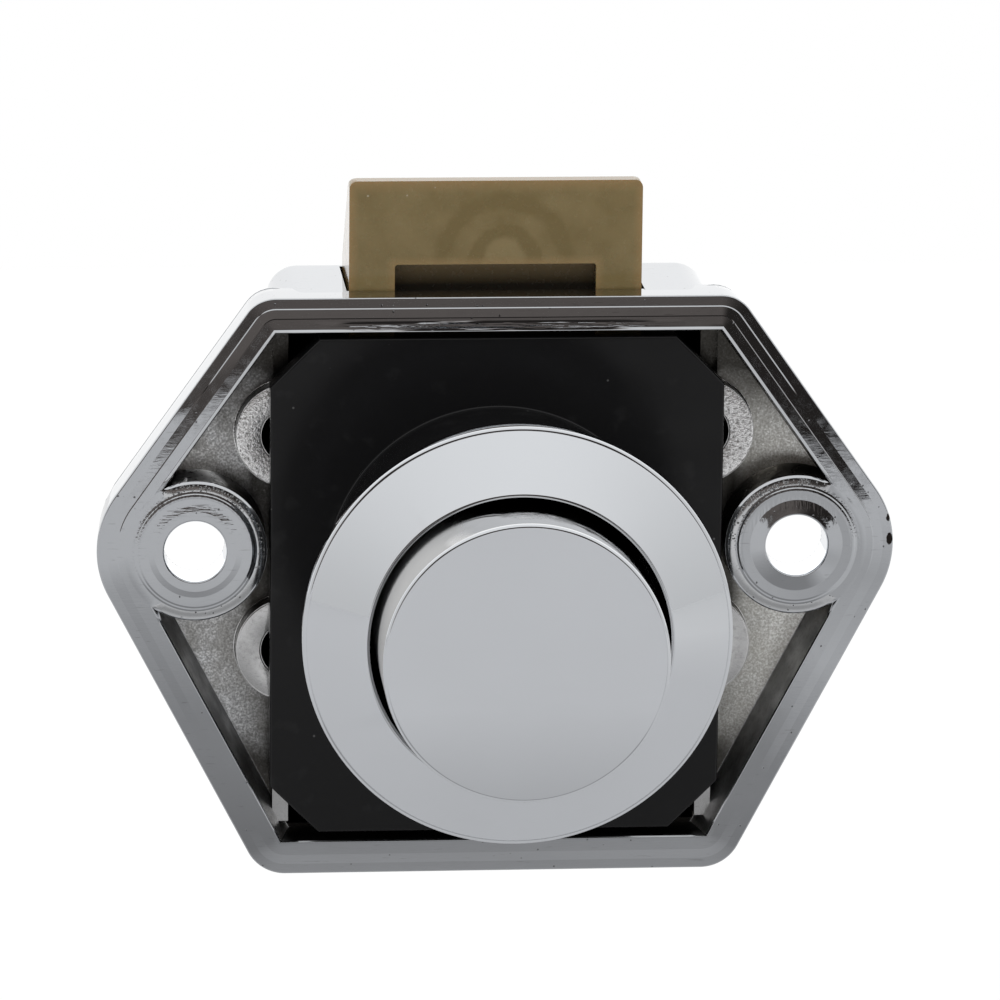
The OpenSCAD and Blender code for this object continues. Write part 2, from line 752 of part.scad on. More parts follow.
module puller() {
    slot_floor = arm_z - wire_r - run_fit;
    slot_rear = 2 * wire_r - follower_y;
    leaf_low = arm_z + wire_r + 2 * run_fit;
    pivot_r = wire_r + seat_gap;
    pivot_low = slot_floor + 1;
    color([0.2, 0.2, 0.22])
        difference() {
            lathe([[bore_r, -puller_front], [puller_r, -puller_front], [puller_r, puller_step],
                [barrel_r, puller_step], [barrel_r, puller_end],
                [tail_r + 3 * run_fit, puller_end], [tail_r + 3 * run_fit, chamber_end],
                [chamber_r, chamber_end], [chamber_r, stem_end + seat_gap],
                [bore_r, stem_end + seat_gap]], big_fn);
            box([-slot_half_w, -puller_front - 1, -puller_r - 1], [slot_half_w, slot_rear, -slot_floor]);
            box([-slot_half_w, follower_tip - 2 * wire_r, -puller_r],
                [slot_half_w, follower_tip + 2 * (wire_r + run_fit), -flat_z]);
            translate([0, -follower_y, -pivot_low])
                cylinder(r = pivot_r, h = pivot_low - bore_r - seat_gap, $fn = hull_fn);
            box([-slot_half_w, slot_rear - 1, -leaf_low - leaf_t - seat_gap],
                [slot_half_w, slot_rear + leaf_grip, seat_gap - leaf_low]);
            both_sides()
                bar_x(pin_r + seat_gap / 2, tail_r + 1, barrel_r + 1, pin_y);
        }
}

module pull_pins() {
    color("silver")
        both_sides()
            bar_x(pin_r, tail_r + 1 + seat_gap, pin_end_x, pin_y);
}

// Bent wire with one leg in the puller and one in the cam track
module cam_follower() {
    leg_top = arm_z - bore_r - wire_r;
    tip_top = arm_z - flat_z + track_d - 2 * run_fit;
    color("lightsteelblue")
        translate([0, 0, -arm_z]) {
            bar_y(wire_r, follower_tip, -follower_y, fn = hull_fn);
            translate([0, -follower_y, 0]) {
                sphere(r = wire_r, $fn = hull_fn);
                cylinder(r = wire_r, h = leg_top, $fn = hull_fn);
            }
            translate([0, follower_tip, 0]) {
                sphere(r = wire_r, $fn = hull_fn);
                cylinder(r = wire_r, h = tip_top, $fn = hull_fn);
            }
        }
}

module follower_leaf() {
    top = arm_z + wire_r + 2 * run_fit;
    half_w = slot_half_w - run_fit;
    end = 2 * wire_r - follower_y + leaf_grip - run_fit;
    color("lightsteelblue")
        box([-half_w, follower_tip - wire_r, -top - leaf_t], [half_w, end, -top]);
}

// Outline of the bolt seen from its side, in depth and height
module bolt_side() {
    polygon([[bolt_front, -bolt_bottom_z], [bolt_rear, -bolt_bottom_z], [bolt_rear, bevel_end_z],
        [bolt_front + bolt_land, bolt_top_z], [bolt_front, bolt_top_z]]);
}

// Outline of a slot with round ends, from the centre of one end to the other
function slot_outline(a, b, r, steps = 16) =
    let (way = atan2(b[1] - a[1], b[0] - a[0]), half_turn = [for (i = [0:steps]) 180 * i / steps])
    concat([for (t = half_turn) a + r * [cos(way + 90 + t), sin(way + 90 + t)]],
        [for (t = half_turn) b + r * [cos(way - 90 + t), sin(way - 90 + t)]]);

// The slanted slot in the bolt's legs, which turns the pull into the bolt's travel
module pull_slot() {
    reach = bolt_half_w + 1;
    translate([-reach, 0, 0])
        rotate([90, 0, 90])
            linear_extrude(2 * reach)
                polygon(slot_outline([pin_y, 0], [pin_y - pull_travel, bolt_travel], pin_r + run_fit));
}

module bolt() {
    notch_half = notch_w / 2;
    window_bottom = -block_bottom_z - 1.5 * run_fit;
    color([0.45, 0.39, 0.27]) {
        difference() {
            intersection() {
                translate([-bolt_half_w, 0, 0])
                    rotate([90, 0, 90])
                        linear_extrude(bolt_w)
                            bolt_side();
                slab(0, case_d)
                    round_rect(bolt_half_w, -bolt_bottom_z, bolt_top_z, bolt_corner_r);
            }
            box([-notch_half, 0, web_bottom_z], [notch_half, web_front, notch_top_z]);
            box([-notch_half, web_rear, window_bottom], [notch_half, wall_front, chamber_top_z]);
            box([-notch_half, 0, window_bottom], [notch_half, wall_front, web_bottom_z]);
            bar_y(lock_hole_r, 0, case_d);
            pull_slot();
        }
        for (x = [-bolt_spring_x, bolt_spring_x])
            translate([x, bolt_spring_y, chamber_top_z - spring_peg_h])
                cylinder(r = spring_peg_r, h = spring_peg_h + eps, $fn = hull_fn);
    }
}

module bolt_spring(name, x) {
    translate([x, bolt_spring_y, block_top_z])
        spring(name, bolt_spring_r, bolt_spring_wire, chamber_top_z - block_top_z, bolt_spring_turns);
}

module bolt_spring_left() {
    bolt_spring("bolt left", -bolt_spring_x);
}

module bolt_spring_right() {
    bolt_spring("bolt right", bolt_spring_x);
}

housing();
sleeve_plate();
plate_screws();
slider_guide();
trim_ring();
knob_cap();
knob_core();
core_screw();
plunger();
rubber_buffer();
retaining_clip();
knob_spring();
thrust_washer();
puller();
pull_pins();
cam_follower();
follower_leaf();
bolt();
bolt_spring_left();
bolt_spring_right();
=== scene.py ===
import math

import bmesh
import bpy
import numpy as np
from mathutils import Matrix, Vector, geometry


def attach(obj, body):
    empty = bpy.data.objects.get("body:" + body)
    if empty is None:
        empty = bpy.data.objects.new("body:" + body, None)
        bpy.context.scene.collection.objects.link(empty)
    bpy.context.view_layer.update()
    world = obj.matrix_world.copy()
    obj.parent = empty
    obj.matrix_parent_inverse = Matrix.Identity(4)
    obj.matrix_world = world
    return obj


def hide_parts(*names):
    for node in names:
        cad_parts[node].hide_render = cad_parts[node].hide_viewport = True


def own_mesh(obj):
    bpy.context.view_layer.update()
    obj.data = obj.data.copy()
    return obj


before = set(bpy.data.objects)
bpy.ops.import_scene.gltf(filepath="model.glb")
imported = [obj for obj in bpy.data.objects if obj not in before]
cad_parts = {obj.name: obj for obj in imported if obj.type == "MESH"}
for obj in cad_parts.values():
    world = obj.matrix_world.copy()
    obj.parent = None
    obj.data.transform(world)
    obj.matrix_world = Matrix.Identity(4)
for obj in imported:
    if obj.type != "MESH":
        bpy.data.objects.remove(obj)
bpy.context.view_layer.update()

# Lengths are in millimetres, and MM turns them into metres. Places inside a material stay in metres.
MM = 0.001


def new_object(name, data):
    obj = bpy.data.objects.new(name, data)
    bpy.context.scene.collection.objects.link(obj)
    return obj


# The camera, at the photograph's viewing angle, with its turns in radians

CAMERA_YAW, CAMERA_PITCH, CAMERA_ROLL = 0.088, 0.2469, 0.011
CAMERA_DISTANCE = 504.7
CAMERA_TARGET = (0.174, 0.0, 5.686)
CAMERA_LENS, CAMERA_SENSOR = 241.39, 36.0


def make_camera():
    side, level = math.sin(CAMERA_YAW), math.cos(CAMERA_YAW)
    back = Vector((-side * math.cos(CAMERA_PITCH), -level * math.cos(CAMERA_PITCH), math.sin(CAMERA_PITCH)))
    right = Vector((level, -side, 0.0))
    up = back.cross(right)
    rolled_right = right * math.cos(CAMERA_ROLL) + up * math.sin(CAMERA_ROLL)
    rolled_up = up * math.cos(CAMERA_ROLL) - right * math.sin(CAMERA_ROLL)
    data = bpy.data.cameras.new("camera")
    data.lens = CAMERA_LENS
    data.sensor_width = CAMERA_SENSOR
    data.clip_start = 10.0 * MM
    place = (Vector(CAMERA_TARGET) + back * CAMERA_DISTANCE) * MM
    turn = Matrix((rolled_right, rolled_up, back)).transposed()
    camera = new_object("camera", data)
    camera.matrix_world = Matrix.Translation(place) @ turn.to_4x4()
    bpy.context.scene.camera = camera


# Materials


class Nodes:
    """A node tree, with short calls for the nodes that repeat."""

    def __init__(self, tree):
        self.tree = tree
        self.places = self.add("ShaderNodeTexCoord").outputs

    def add(self, kind, **settings):
        node = self.tree.nodes.new(kind)
        for key, value in settings.items():
            setattr(node, key, value)
        return node

    def put(self, socket, value):
        if isinstance(value, bpy.types.NodeSocket):
            self.tree.links.new(value, socket)
        else:
            socket.default_value = value

    def xyz(self, place):
        node = self.add("ShaderNodeSeparateXYZ")
        self.put(node.inputs[0], place)
        return node.outputs

    def math(self, operation, a, b=0.0, c=0.0):
        node = self.add("ShaderNodeMath", operation=operation)
        for socket, value in zip(node.inputs, (a, b, c)):
            self.put(socket, value)
        return node.outputs[0]

    def plus(self, a, b):
        return self.math("ADD", a, b)

    def minus(self, a, b):
        return self.math("SUBTRACT", a, b)

    def times(self, a, b):
        return self.math("MULTIPLY", a, b)

    def most(self, a, b):
        return self.math("MAXIMUM", a, b)

    def absolute(self, a):
        return self.math("ABSOLUTE", a)

    def opposite(self, share):
        return self.math("SUBTRACT", 1.0, share)

    def diagonal(self, a, b):
        return self.math("SQRT", self.plus(self.math("POWER", a, 2.0), self.math("POWER", b, 2.0)))

    def ramp(self, value, low, high, to_low=0.0, to_high=1.0, kind="LINEAR"):
        """Goes from to_low at low to to_high at high, and stays level outside."""
        node = self.add("ShaderNodeMapRange", interpolation_type=kind, clamp=True)
        for socket, number in zip(node.inputs, (value, low, high, to_low, to_high)):
            self.put(socket, number)
        return node.outputs[0]

    def step(self, value, low, high):
        return self.ramp(value, low, high, kind="SMOOTHSTEP")

    def between(self, value, low, full, fade, end):
        """1 from full to fade, falling to 0 at low and at end."""
        return self.times(self.ramp(value, low, full), self.ramp(value, end, fade))

    def mix(self, factor, a, b):
        node = self.add("ShaderNodeMix", data_type="RGBA")
        self.put(node.inputs["Factor"], factor)
        for key, color in (("A", a), ("B", b)):
            socket = next(s for s in node.inputs if s.name == key and s.type == "RGBA")
            self.put(socket, color if isinstance(color, bpy.types.NodeSocket) else (*color, 1.0))
        return next(s for s in node.outputs if s.type == "RGBA")


class Coat(Nodes):
    """The nodes of a new material."""

    def __init__(self, name):
        self.material = bpy.data.materials.new(name)
        self.material.use_nodes = True
        super().__init__(self.material.node_tree)
        self.shader = self.tree.nodes["Principled BSDF"]
        self.place = self.places["Object"]

    def noise(self, size, detail=2.0, scales=None, roughness=0.5):
        """A noise with patches of that size in millimetres, drawn out along an axis with a scale under 1."""
        place = self.place
        if scales:
            stretched = self.add("ShaderNodeMapping")
            self.put(stretched.inputs["Vector"], place)
            stretched.inputs["Scale"].default_value = scales
            place = stretched.outputs[0]
        node = self.add("ShaderNodeTexNoise")
        self.put(node.inputs["Vector"], place)
        node.inputs["Scale"].default_value = 1.0 / (size * MM)
        node.inputs["Detail"].default_value = detail
        node.inputs["Roughness"].default_value = roughness
        return node.outputs["Fac"]

    def drift(self, size, amount, detail=2.0):
        """A noise about 0, in metres, that bends a border."""
        return self.times(self.minus(self.noise(size, detail), 0.5), amount)

    def specks(self, size, share, width=0.16):
        """1 in round specks, 0 elsewhere. share is how much of the cells holds one, and width its reach."""
        node = self.add("ShaderNodeTexVoronoi")
        self.put(node.inputs["Vector"], self.place)
        node.inputs["Scale"].default_value = 1.0 / (size * MM)
        chosen = self.add("ShaderNodeSeparateColor")
        self.put(chosen.inputs[0], node.outputs["Color"])
        some = self.math("LESS_THAN", chosen.outputs[0], share)
        soft = 0.04
        return self.times(some, self.ramp(node.outputs["Distance"], width - soft, width + soft, 1.0, 0.0))

    def bump(self, *heights):
        """Heights are pairs of a height socket and its size in millimetres."""
        normal = None
        for height, size in heights:
            node = self.add("ShaderNodeBump")
            node.inputs["Distance"].default_value = size * MM
            self.put(node.inputs["Height"], height)
            if normal is not None:
                self.put(node.inputs["Normal"], normal)
            normal = node.outputs["Normal"]
        self.put(self.shader.inputs["Normal"], normal)

    def set(self, **values):
        for key, value in values.items():
            self.put(self.shader.inputs[key.replace("_", " ")], value)

    def set_metal(self, color, roughness):
        self.set(Base_Color=color, Metallic=1.0, Roughness=roughness)


def gray(value):
    return (value, value, value)


def mirror_color(n, shade):
    """A bluish mirror's colour, a little uneven."""
    light, dark = (shade, shade * 1.03, shade * 1.07), (shade * 0.95, shade * 0.975, shade * 1.01)
    return n.mix(n.noise(9.0), dark, light)


def chrome(name, shade):
    """Bright chrome plate: a mirror with slow waves and faint smears."""
    n = Coat(name)
    smears = n.noise(0.8, 3.0, (0.25, 1.0, 1.0))
    n.set_metal(mirror_color(n, shade), n.ramp(smears, 0.35, 0.75, 0.03, 0.07))
    n.bump((n.noise(3.0), 0.0008), (smears, 0.00012))
    return n.material


# Where the plating of the flange's right edge is chipped: x, z, radius
CHIPS = [(29.72, 3.95, 0.27), (29.86, 2.3, 0.46)]


def case_chrome(name):
    """Chrome over a polished casting: level strokes and lines, pits, torn skin round the fixing holes, a
    wrinkled band near the top, two chips, and painted shade that darkens the lower edge."""
    n = Coat(name)
    x, y, z = n.xyz(n.place)
    above = n.minus(z, HOLE_Z * MM)
    reach = n.diagonal(n.minus(n.absolute(x), HOLE_X * MM), above)
    strokes = n.noise(0.16, 3.0, (0.16, 1.0, 1.0), 0.6)
    strokes = n.times(strokes, n.ramp(n.noise(3.5, 3.0), 0.42, 0.62, 0.4, 1.0))
    pits = n.specks(0.42, 0.07)
    level = n.times(n.noise(0.22, 2.0, (0.13, 1.0, 1.0)), n.ramp(x, 0.001, 0.0))
    upright = n.times(n.noise(0.22, 2.0, (1.0, 1.0, 0.15)), n.ramp(x, 0.0, 0.001))
    torn_ring = n.times(n.between(reach, 0.0027, 0.0031, 0.0036, 0.0041), n.ramp(above, 0.0005, 0.0022))
    torn = n.times(n.plus(level, upright), torn_ring)
    groove = n.times(n.between(reach, 0.0041, 0.00425, 0.00465, 0.0049), n.ramp(above, -0.002, 0.001))
    ragged = n.times(n.noise(0.2, 3.0), groove)
    top_band = n.times(n.between(z, 0.01875, 0.0189, 0.0193, 0.0195), n.ramp(n.absolute(x), 0.014, 0.006))
    wrinkled = n.times(n.noise(0.5, 3.0, (0.08, 1.0, 1.0)), top_band)
    color = n.mix(n.times(pits, 0.8), mirror_color(n, 0.5), gray(0.1))
    lines = n.ramp(n.noise(0.13, 2.0, (0.08, 1.0, 1.0)), 0.68, 0.74, 0.0, 0.35)
    color = n.mix(lines, color, gray(0.2))
    # Painted shade: the colour darkens towards the lower edge, a little more on the left.
    low = n.ramp(n.math("MULTIPLY_ADD", x, 0.1, z), -0.016, -0.0225, 0.0, 0.28)
    color = n.mix(low, color, gray(0.12))
    for chip_x, chip_z, radius in CHIPS:
        away = n.diagonal(n.times(n.minus(x, chip_x * MM), 2.0), n.minus(z, chip_z * MM))
        away = n.plus(away, n.times(n.noise(0.25, 3.0), 0.0003))
        chip = n.ramp(away, (radius + 0.2) * MM, (radius + 0.12) * MM)
        color = n.mix(n.times(chip, n.ramp(y, 0.0013, 0.001)), color, (0.02, 0.017, 0.015))
    n.set_metal(color, n.ramp(n.noise(0.7, 3.0), 0.35, 0.7, 0.03, 0.08))
    n.bump((n.noise(2.6), 0.004), (strokes, 0.001), (torn, 0.014), (ragged, 0.013), (wrinkled, 0.09),
           (n.opposite(pits), 0.006))
    return n.material


def rubbed_chrome(name):
    """Bright chrome that the ring has rubbed: dull on the left, with a painted highlight at the top, a paler
    and rougher patch.
    """
    n = Coat(name)
    x, y, _ = n.xyz(n.place)
    smears = n.noise(0.5, 3.0, (1.0, 0.3, 1.0))
    left = n.ramp(n.plus(x, n.drift(1.5, 0.003)), -0.0032, -0.006)
    # Painted highlight: a paler, rougher patch a little behind the knob's face.
    painted_glint = n.times(n.ramp(n.absolute(n.minus(x, 0.0008)), 0.003, 0.0012),
                    n.ramp(n.noise(0.9, 3.0, (0.5, 1.0, 1.0)), 0.38, 0.6))
    painted_glint = n.times(painted_glint, n.between(y, -0.0245, -0.0238, -0.0228, -0.0222))
    n.set_metal(n.mix(left, n.mix(painted_glint, gray(0.62), gray(0.72)), gray(0.42)),
                n.mix(n.most(left, painted_glint), gray(0.07), gray(0.42)))
    along = n.math("MULTIPLY_ADD", y, 1 / MM, 23.0)
    tilt = n.times(along, n.ramp(x, -0.0015, -0.0085))
    n.bump((n.noise(2.6, 2.0), 0.03), (smears, 0.0006), (along, 0.02), (tilt, 0.42))
    return n.material


def pitted_chrome(name):
    """Chrome over a turned ring that is full of small pores, most of all in its upper half."""
    n = Coat(name)
    _, _, z = n.xyz(n.place)
    crowded = n.times(n.ramp(n.noise(1.6, 2.0), 0.35, 0.65, 0.2, 0.9), n.ramp(z, 0.0, 0.005, 0.12, 1.0))
    pores = n.most(n.specks(0.2, crowded, 0.36), n.specks(0.32, crowded, 0.3))
    color = n.mix(n.times(pores, 0.75), (0.62, 0.63, 0.64), gray(0.1))
    n.set_metal(color, n.ramp(pores, 0.0, 1.0, 0.12, 0.4))
    n.bump((n.noise(0.5, 3.0), 0.004), (n.opposite(pores), 0.012))
    return n.material


def cast_chrome(name, grain_size, height, light, dark, swell=0.0, roughness=(0.42, 0.36), grains=0.2):
    """Chrome over casting skin. Its grains have a size, a height and a darkness, and its light and dark
    shades and its roughness change from place to place."""
    n = Coat(name)
    grain = n.noise(grain_size, 3.0, roughness=0.65)
    color = n.mix(n.ramp(n.noise(2.6, 3.0), 0.4, 0.66), gray(dark), gray(light))
    color = n.mix(n.ramp(grain, 0.28, 0.5, grains, 0.0), color, (0.14, 0.135, 0.12))
    n.set_metal(color, n.ramp(grain, 0.3, 0.7, *roughness))
    n.bump((n.noise(3.4), swell), (n.noise(1.2), 0.12 * swell), (grain, height))
    return n.material


def boss_chrome(name):
    """A boss's wall: plating painted near-black as shade, with a painted highlight on the left boss and a
    painted dull brown glow on the right."""
    n = Coat(name)
    x, y, z = n.xyz(n.place)
    along = n.plus(x, n.drift(1.5, 0.0014, 3.0))
    painted_highlight = n.between(along, -0.0246, -0.0234, -0.0214, -0.0202)
    painted_brown_glow = n.between(along, 0.0185, 0.0215, 0.0245, 0.0262)
    # Painted light and shade: near-black base, a brown glow on the right boss and a white highlight on the
    # left.
    color = n.mix(n.times(painted_brown_glow, 0.6), (0.06, 0.057, 0.052), (0.3, 0.28, 0.25))
    color = n.mix(n.times(painted_highlight, n.ramp(z, 0.003, 0.004)), color, gray(1.0))
    n.set_metal(color, n.ramp(n.noise(0.4, 2.0), 0.3, 0.7, 0.36, 0.26))
    facing = n.times(n.math("MULTIPLY_ADD", y, 1 / MM, -2.0), n.most(painted_highlight, painted_brown_glow))
    n.bump((n.noise(0.3, 2.0), 0.003), (n.noise(2.0), 0.01), (facing, 0.5))
    return n.material


def floor_chrome(name):
    """The pockets' floors: matt plating with fine grains, darkened by painted shade near the plate and in
    the far corners, and yellower on the right."""
    n = Coat(name)
    x, _, z = n.xyz(n.place)
    side = n.absolute(x)
    up = n.times(n.minus(z, HOLE_Z * MM), 1 / MM)
    grain = n.noise(0.16, 3.0, roughness=0.65)
    cloud = n.noise(2.8, 3.0)
    # Masks of painted shade: high and low in the pockets, near the plate and between the plate and the
    # bosses.
    over = n.ramp(n.plus(up, n.times(cloud, 3.0)), 8.7, 14.7)
    under = n.ramp(n.minus(n.times(cloud, 3.0), up), 13.5, 19.0)
    near = n.times(n.ramp(side, 0.0199, 0.0183), n.ramp(n.absolute(up), 7.5, 5.0))
    beside = n.ramp(n.plus(side, n.times(cloud, 0.002)), 0.0222, 0.0185, 0.0, 0.62)
    painted_shade = n.most(n.most(n.most(over, under), near), beside)
    sparkle = n.ramp(grain, 0.4, 0.62)
    color = n.mix(sparkle, (0.46, 0.465, 0.47), (0.98, 0.99, 1.0))
    color = n.mix(n.ramp(cloud, 0.38, 0.66, 0.0, 0.62), color, (0.27, 0.26, 0.235))
    yellow = n.mix(sparkle, (0.75, 0.73, 0.66), (1.0, 1.0, 0.94))
    color = n.mix(n.times(n.ramp(x, 0.0, 0.001), 0.6), color, yellow)
    color = n.mix(n.times(painted_shade, 0.93), color, (0.035, 0.032, 0.027))
    n.set_metal(color, n.ramp(grain, 0.3, 0.7, 0.38, 0.26))
    n.bump((n.noise(3.0), 0.05), (grain, 0.004))
    return n.material


def black_plastic(name):
    """Glossy black moulding with dust and smudges."""
    n = Coat(name)
    smudge = n.ramp(n.noise(2.2, 4.0), 0.6, 0.75, 0.0, 0.08)
    marks = n.most(n.specks(0.55, 0.02), smudge)
    n.set(Base_Color=n.mix(marks, (0.009, 0.009, 0.0095), gray(0.09)),
          Roughness=n.ramp(n.noise(5.0, 3.0), 0.3, 0.7, 0.16, 0.24), Specular_IOR_Level=0.22)
    n.bump((n.noise(6.0), 0.004), (n.noise(0.3), 0.0002))
    return n.material


def moulded(name, low, high, roughness=0.45, grain=0.0015, size=0.25):
    """Satin moulding with slow shade changes and a fine grain."""
    n = Coat(name)
    n.set(Base_Color=n.mix(n.ramp(n.noise(3.0, 3.0), 0.3, 0.7), low, high),
          Roughness=n.ramp(n.noise(0.8, 2.0), 0.3, 0.7, roughness - 0.06, roughness + 0.06))
    n.bump((n.noise(size, 2.0), grain))
    return n.material


# The bolt's moulding gate and the notch in its front

GATE = (0.7, 3.9, 23.1)
NOTCH_HALF_W, NOTCH_TOP, NOTCH_ROUND = 7.6, 23.0, 0.25


def nylon(name, low, high, roughness=0.24):
    """Brown nylon: flow rings round its gate, painted glow by its edges, painted shadow in the notch, a few
    specks.
    """
    n = Coat(name)
    x, y, z = n.xyz(n.place)
    side = n.absolute(x)
    from_gate = n.add("ShaderNodeVectorMath", operation="DISTANCE")
    n.put(from_gate.inputs[0], n.place)
    n.put(from_gate.inputs[1], [c * MM for c in GATE])
    away = n.plus(from_gate.outputs["Value"], n.times(n.noise(2.4), 0.0009))
    inner = n.between(away, 0.0020, 0.0025, 0.0029, 0.0034)
    outer = n.times(n.ramp(away, 0.0044, 0.0050), n.ramp(away, 0.0060, 0.0053, 0.0, 0.6))
    rings = n.minus(n.ramp(away, 0.0030, 0.0015, 0.0, 0.7), n.most(inner, outer))
    flow = n.math("MULTIPLY_ADD", rings, 0.65, n.noise(2.2, 4.0))
    color = n.mix(n.ramp(flow, 0.2, 0.85), low, high)
    # Painted light: the colour is paler by the top, the sides and the notch's edges.
    wavy = n.drift(1.2, 0.0003)
    by_side = n.ramp(n.plus(side, wavy), 0.0103, 0.01095)
    by_top = n.ramp(n.plus(z, wavy), 0.02845, 0.0293)
    by_notch = n.times(n.ramp(side, 0.0083, 0.0077), n.ramp(z, 0.02365, 0.02315))
    painted_edge_glow = n.most(n.most(by_side, by_top), n.times(by_notch, 0.75))
    color = n.mix(n.times(painted_edge_glow, 0.9), color, (0.3, 0.2, 0.085))
    # Painted shadow in the notch, darkest at its bottom.
    sunk = n.times(n.ramp(y, 0.0042, 0.0046), n.ramp(side, 0.0079, 0.0077))
    sunk = n.times(sunk, n.ramp(z, 0.0232, 0.02295))
    shadow = n.mix(n.ramp(z, 0.0229, 0.0211), (0.26, 0.18, 0.075), (0.022, 0.018, 0.013))
    color = n.mix(sunk, color, shadow)
    flecks = n.times(n.ramp(n.noise(0.12, 2.0), 0.62, 0.75, 0.0, 0.3), n.opposite(sunk))
    color = n.mix(flecks, color, tuple(1.5 * c for c in high))
    clear = n.minus(0.7, n.times(sunk, 0.66))
    color = n.mix(n.times(n.specks(0.42, 0.012), clear), color, (0.6, 0.55, 0.45))
    n.set(Base_Color=color, Subsurface_Weight=0.08, Subsurface_Scale=0.0012,
          Roughness=n.ramp(n.noise(0.6, 3.0), 0.3, 0.7, roughness - 0.05, roughness + 0.06))
    n.bump((n.noise(0.14, 2.0), 0.0011), (n.noise(2.2), 0.005))
    return n.material


def steel(name, color, roughness, streak):
    """Drawn or plated steel, with streaks along the three scales of streak."""
    n = Coat(name)
    lines = n.noise(0.5, 3.0, streak)
    n.set_metal(n.mix(n.ramp(lines, 0.3, 0.7), tuple(0.85 * c for c in color), color),
                n.ramp(lines, 0.3, 0.7, roughness - 0.05, roughness + 0.08))
    n.bump((lines, 0.002))
    return n.material


def give_materials(mesh, *materials):
    mesh.materials.clear()
    for material in materials:
        mesh.materials.append(material)


# Shapes


def quarter(steps):
    """Pairs of 1 - sin and 1 - cos over a quarter turn, from (1, 0) to (0, 1), for round edges."""
    return [(1 - math.sin(t), 1 - math.cos(t)) for t in np.linspace(0, math.pi / 2, steps + 1)]


def circle(x, z, radius, count, start=0.0, turn=2 * math.pi):
    """Points round a circle, or with a shorter turn along an arc with both its ends."""
    steps = count if turn == 2 * math.pi else count + 1
    angles = [start + turn * k / count for k in range(steps)]
    return [(x + radius * math.cos(t), z + radius * math.sin(t)) for t in angles]


def fillet(points, steps=8):
    """A closed outline of points (a, b, radius), with each corner rounded to its radius."""
    out = []
    for i, (a, b, radius) in enumerate(points):
        if radius <= 0:
            out.append((a, b))
            continue
        here = Vector((a, b))
        before = (Vector(points[i - 1][:2]) - here).normalized()
        after = (Vector(points[(i + 1) % len(points)][:2]) - here).normalized()
        half = before.angle(after) / 2
        reach = radius / math.tan(half)
        middle = here + (before + after).normalized() * (radius / math.sin(half))
        start, end = here + before * reach - middle, here + after * reach - middle
        turn = start.angle_signed(end)
        for k in range(steps + 1):
            t = -turn * k / steps
            cos, sin = math.cos(t), math.sin(t)
            out.append((middle.x + start.x * cos - start.y * sin, middle.y + start.x * sin + start.y * cos))
    return out


def shrink(outline, inset):
    """Moves each side of a closed counter-clockwise outline inwards by inset, one number or one per side."""
    count = len(outline)
    insets = inset if isinstance(inset, list) else [inset] * count
    if not any(insets):
        return list(outline)
    out = []
    for i in range(count):
        p, q, r = (Vector(outline[(i + k) % count]) for k in (-1, 0, 1))
        a, b = (q - p).normalized(), (r - q).normalized()
        na, nb = Vector((-a.y, a.x)), Vector((-b.y, b.x))
        before, after = insets[i - 1], insets[i]
        bend = na.x * nb.y - na.y * nb.x
        if abs(bend) < 0.02:
            move = (na + nb) * (before + after) / 4
        else:
            move = Vector((before * nb.y - after * na.y, after * na.x - before * nb.x)) / bend
        out.append(tuple(q + move))
    return out


def side_middles(outline):
    return [((a[0] + b[0]) / 2, (a[1] + b[1]) / 2) for a, b in zip(outline, outline[1:] + outline[:1])]


def at_depth(outline, depth):
    return [(x, depth, z) for x, z in outline]


class Shape:
    """Points in millimetres and faces, each face with the index of its material."""

    def __init__(self):
        self.points = []
        self.faces = []
        self.slots = []

    def add_points(self, points):
        first = len(self.points)
        self.points.extend(tuple(map(float, p)) for p in points)
        return list(range(first, len(self.points)))

    def face(self, corners, slot=0):
        self.faces.append(list(corners))
        self.slots.append(slot)

    def band(self, a, b, slot=0, skip=None):
        """Quads between two closed rows of as many points, without the sides that skip marks."""
        for i in range(len(a)):
            j = (i + 1) % len(a)
            if not (skip and skip[i]):
                self.face((a[i], a[j], b[j], b[i]), slot)

    def rows(self, rows, slot=0):
        made = [self.add_points(row) for row in rows]
        for a, b in zip(made, made[1:]):
            self.band(a, b, slot)
        return made

    def lathe(self, profile, segments, slot=0, closed=True, centre=(0.0, 0.0)):
        """Turns a profile of (radius, depth) points about a line along Y."""
        rows = [at_depth(circle(*centre, radius, segments), depth) for radius, depth in profile]
        self.rows(rows + rows[:1] if closed else rows, slot)

    def build(self, name, materials, angle=32.0, weld=True):
        mesh = bpy.data.meshes.new(name)
        mesh.from_pydata([tuple(c * MM for c in p) for p in self.points], [], self.faces)
        give_materials(mesh, *materials)
        mesh.polygons.foreach_set("material_index", self.slots)
        mesh.validate()
        work = bmesh.new()
        work.from_mesh(mesh)
        if weld:
            bmesh.ops.remove_doubles(work, verts=work.verts, dist=1e-7)
            bmesh.ops.recalc_face_normals(work, faces=work.faces)
        work.to_mesh(mesh)
        work.free()
        return shaded(name, mesh, angle)


def shaded(name, mesh, angle=32.0):
    """A new object whose rounded edges are smooth and whose flat faces look flat."""
    mesh.polygons.foreach_set("use_smooth", [True] * len(mesh.polygons))
    mesh.set_sharp_from_angle(angle=math.radians(angle))
    obj = new_object(name, mesh)
    obj.modifiers.new("flat_faces", "WEIGHTED_NORMAL").keep_sharp = True
    return obj


def finish_piece(obj, body, node):
    """Rides a piece on its body, and puts it in place of its node."""
    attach(obj, body)
    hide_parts(node)


# The case's outline: corner circles (x, z, radius) joined by straight edges, going round counter-clockwise

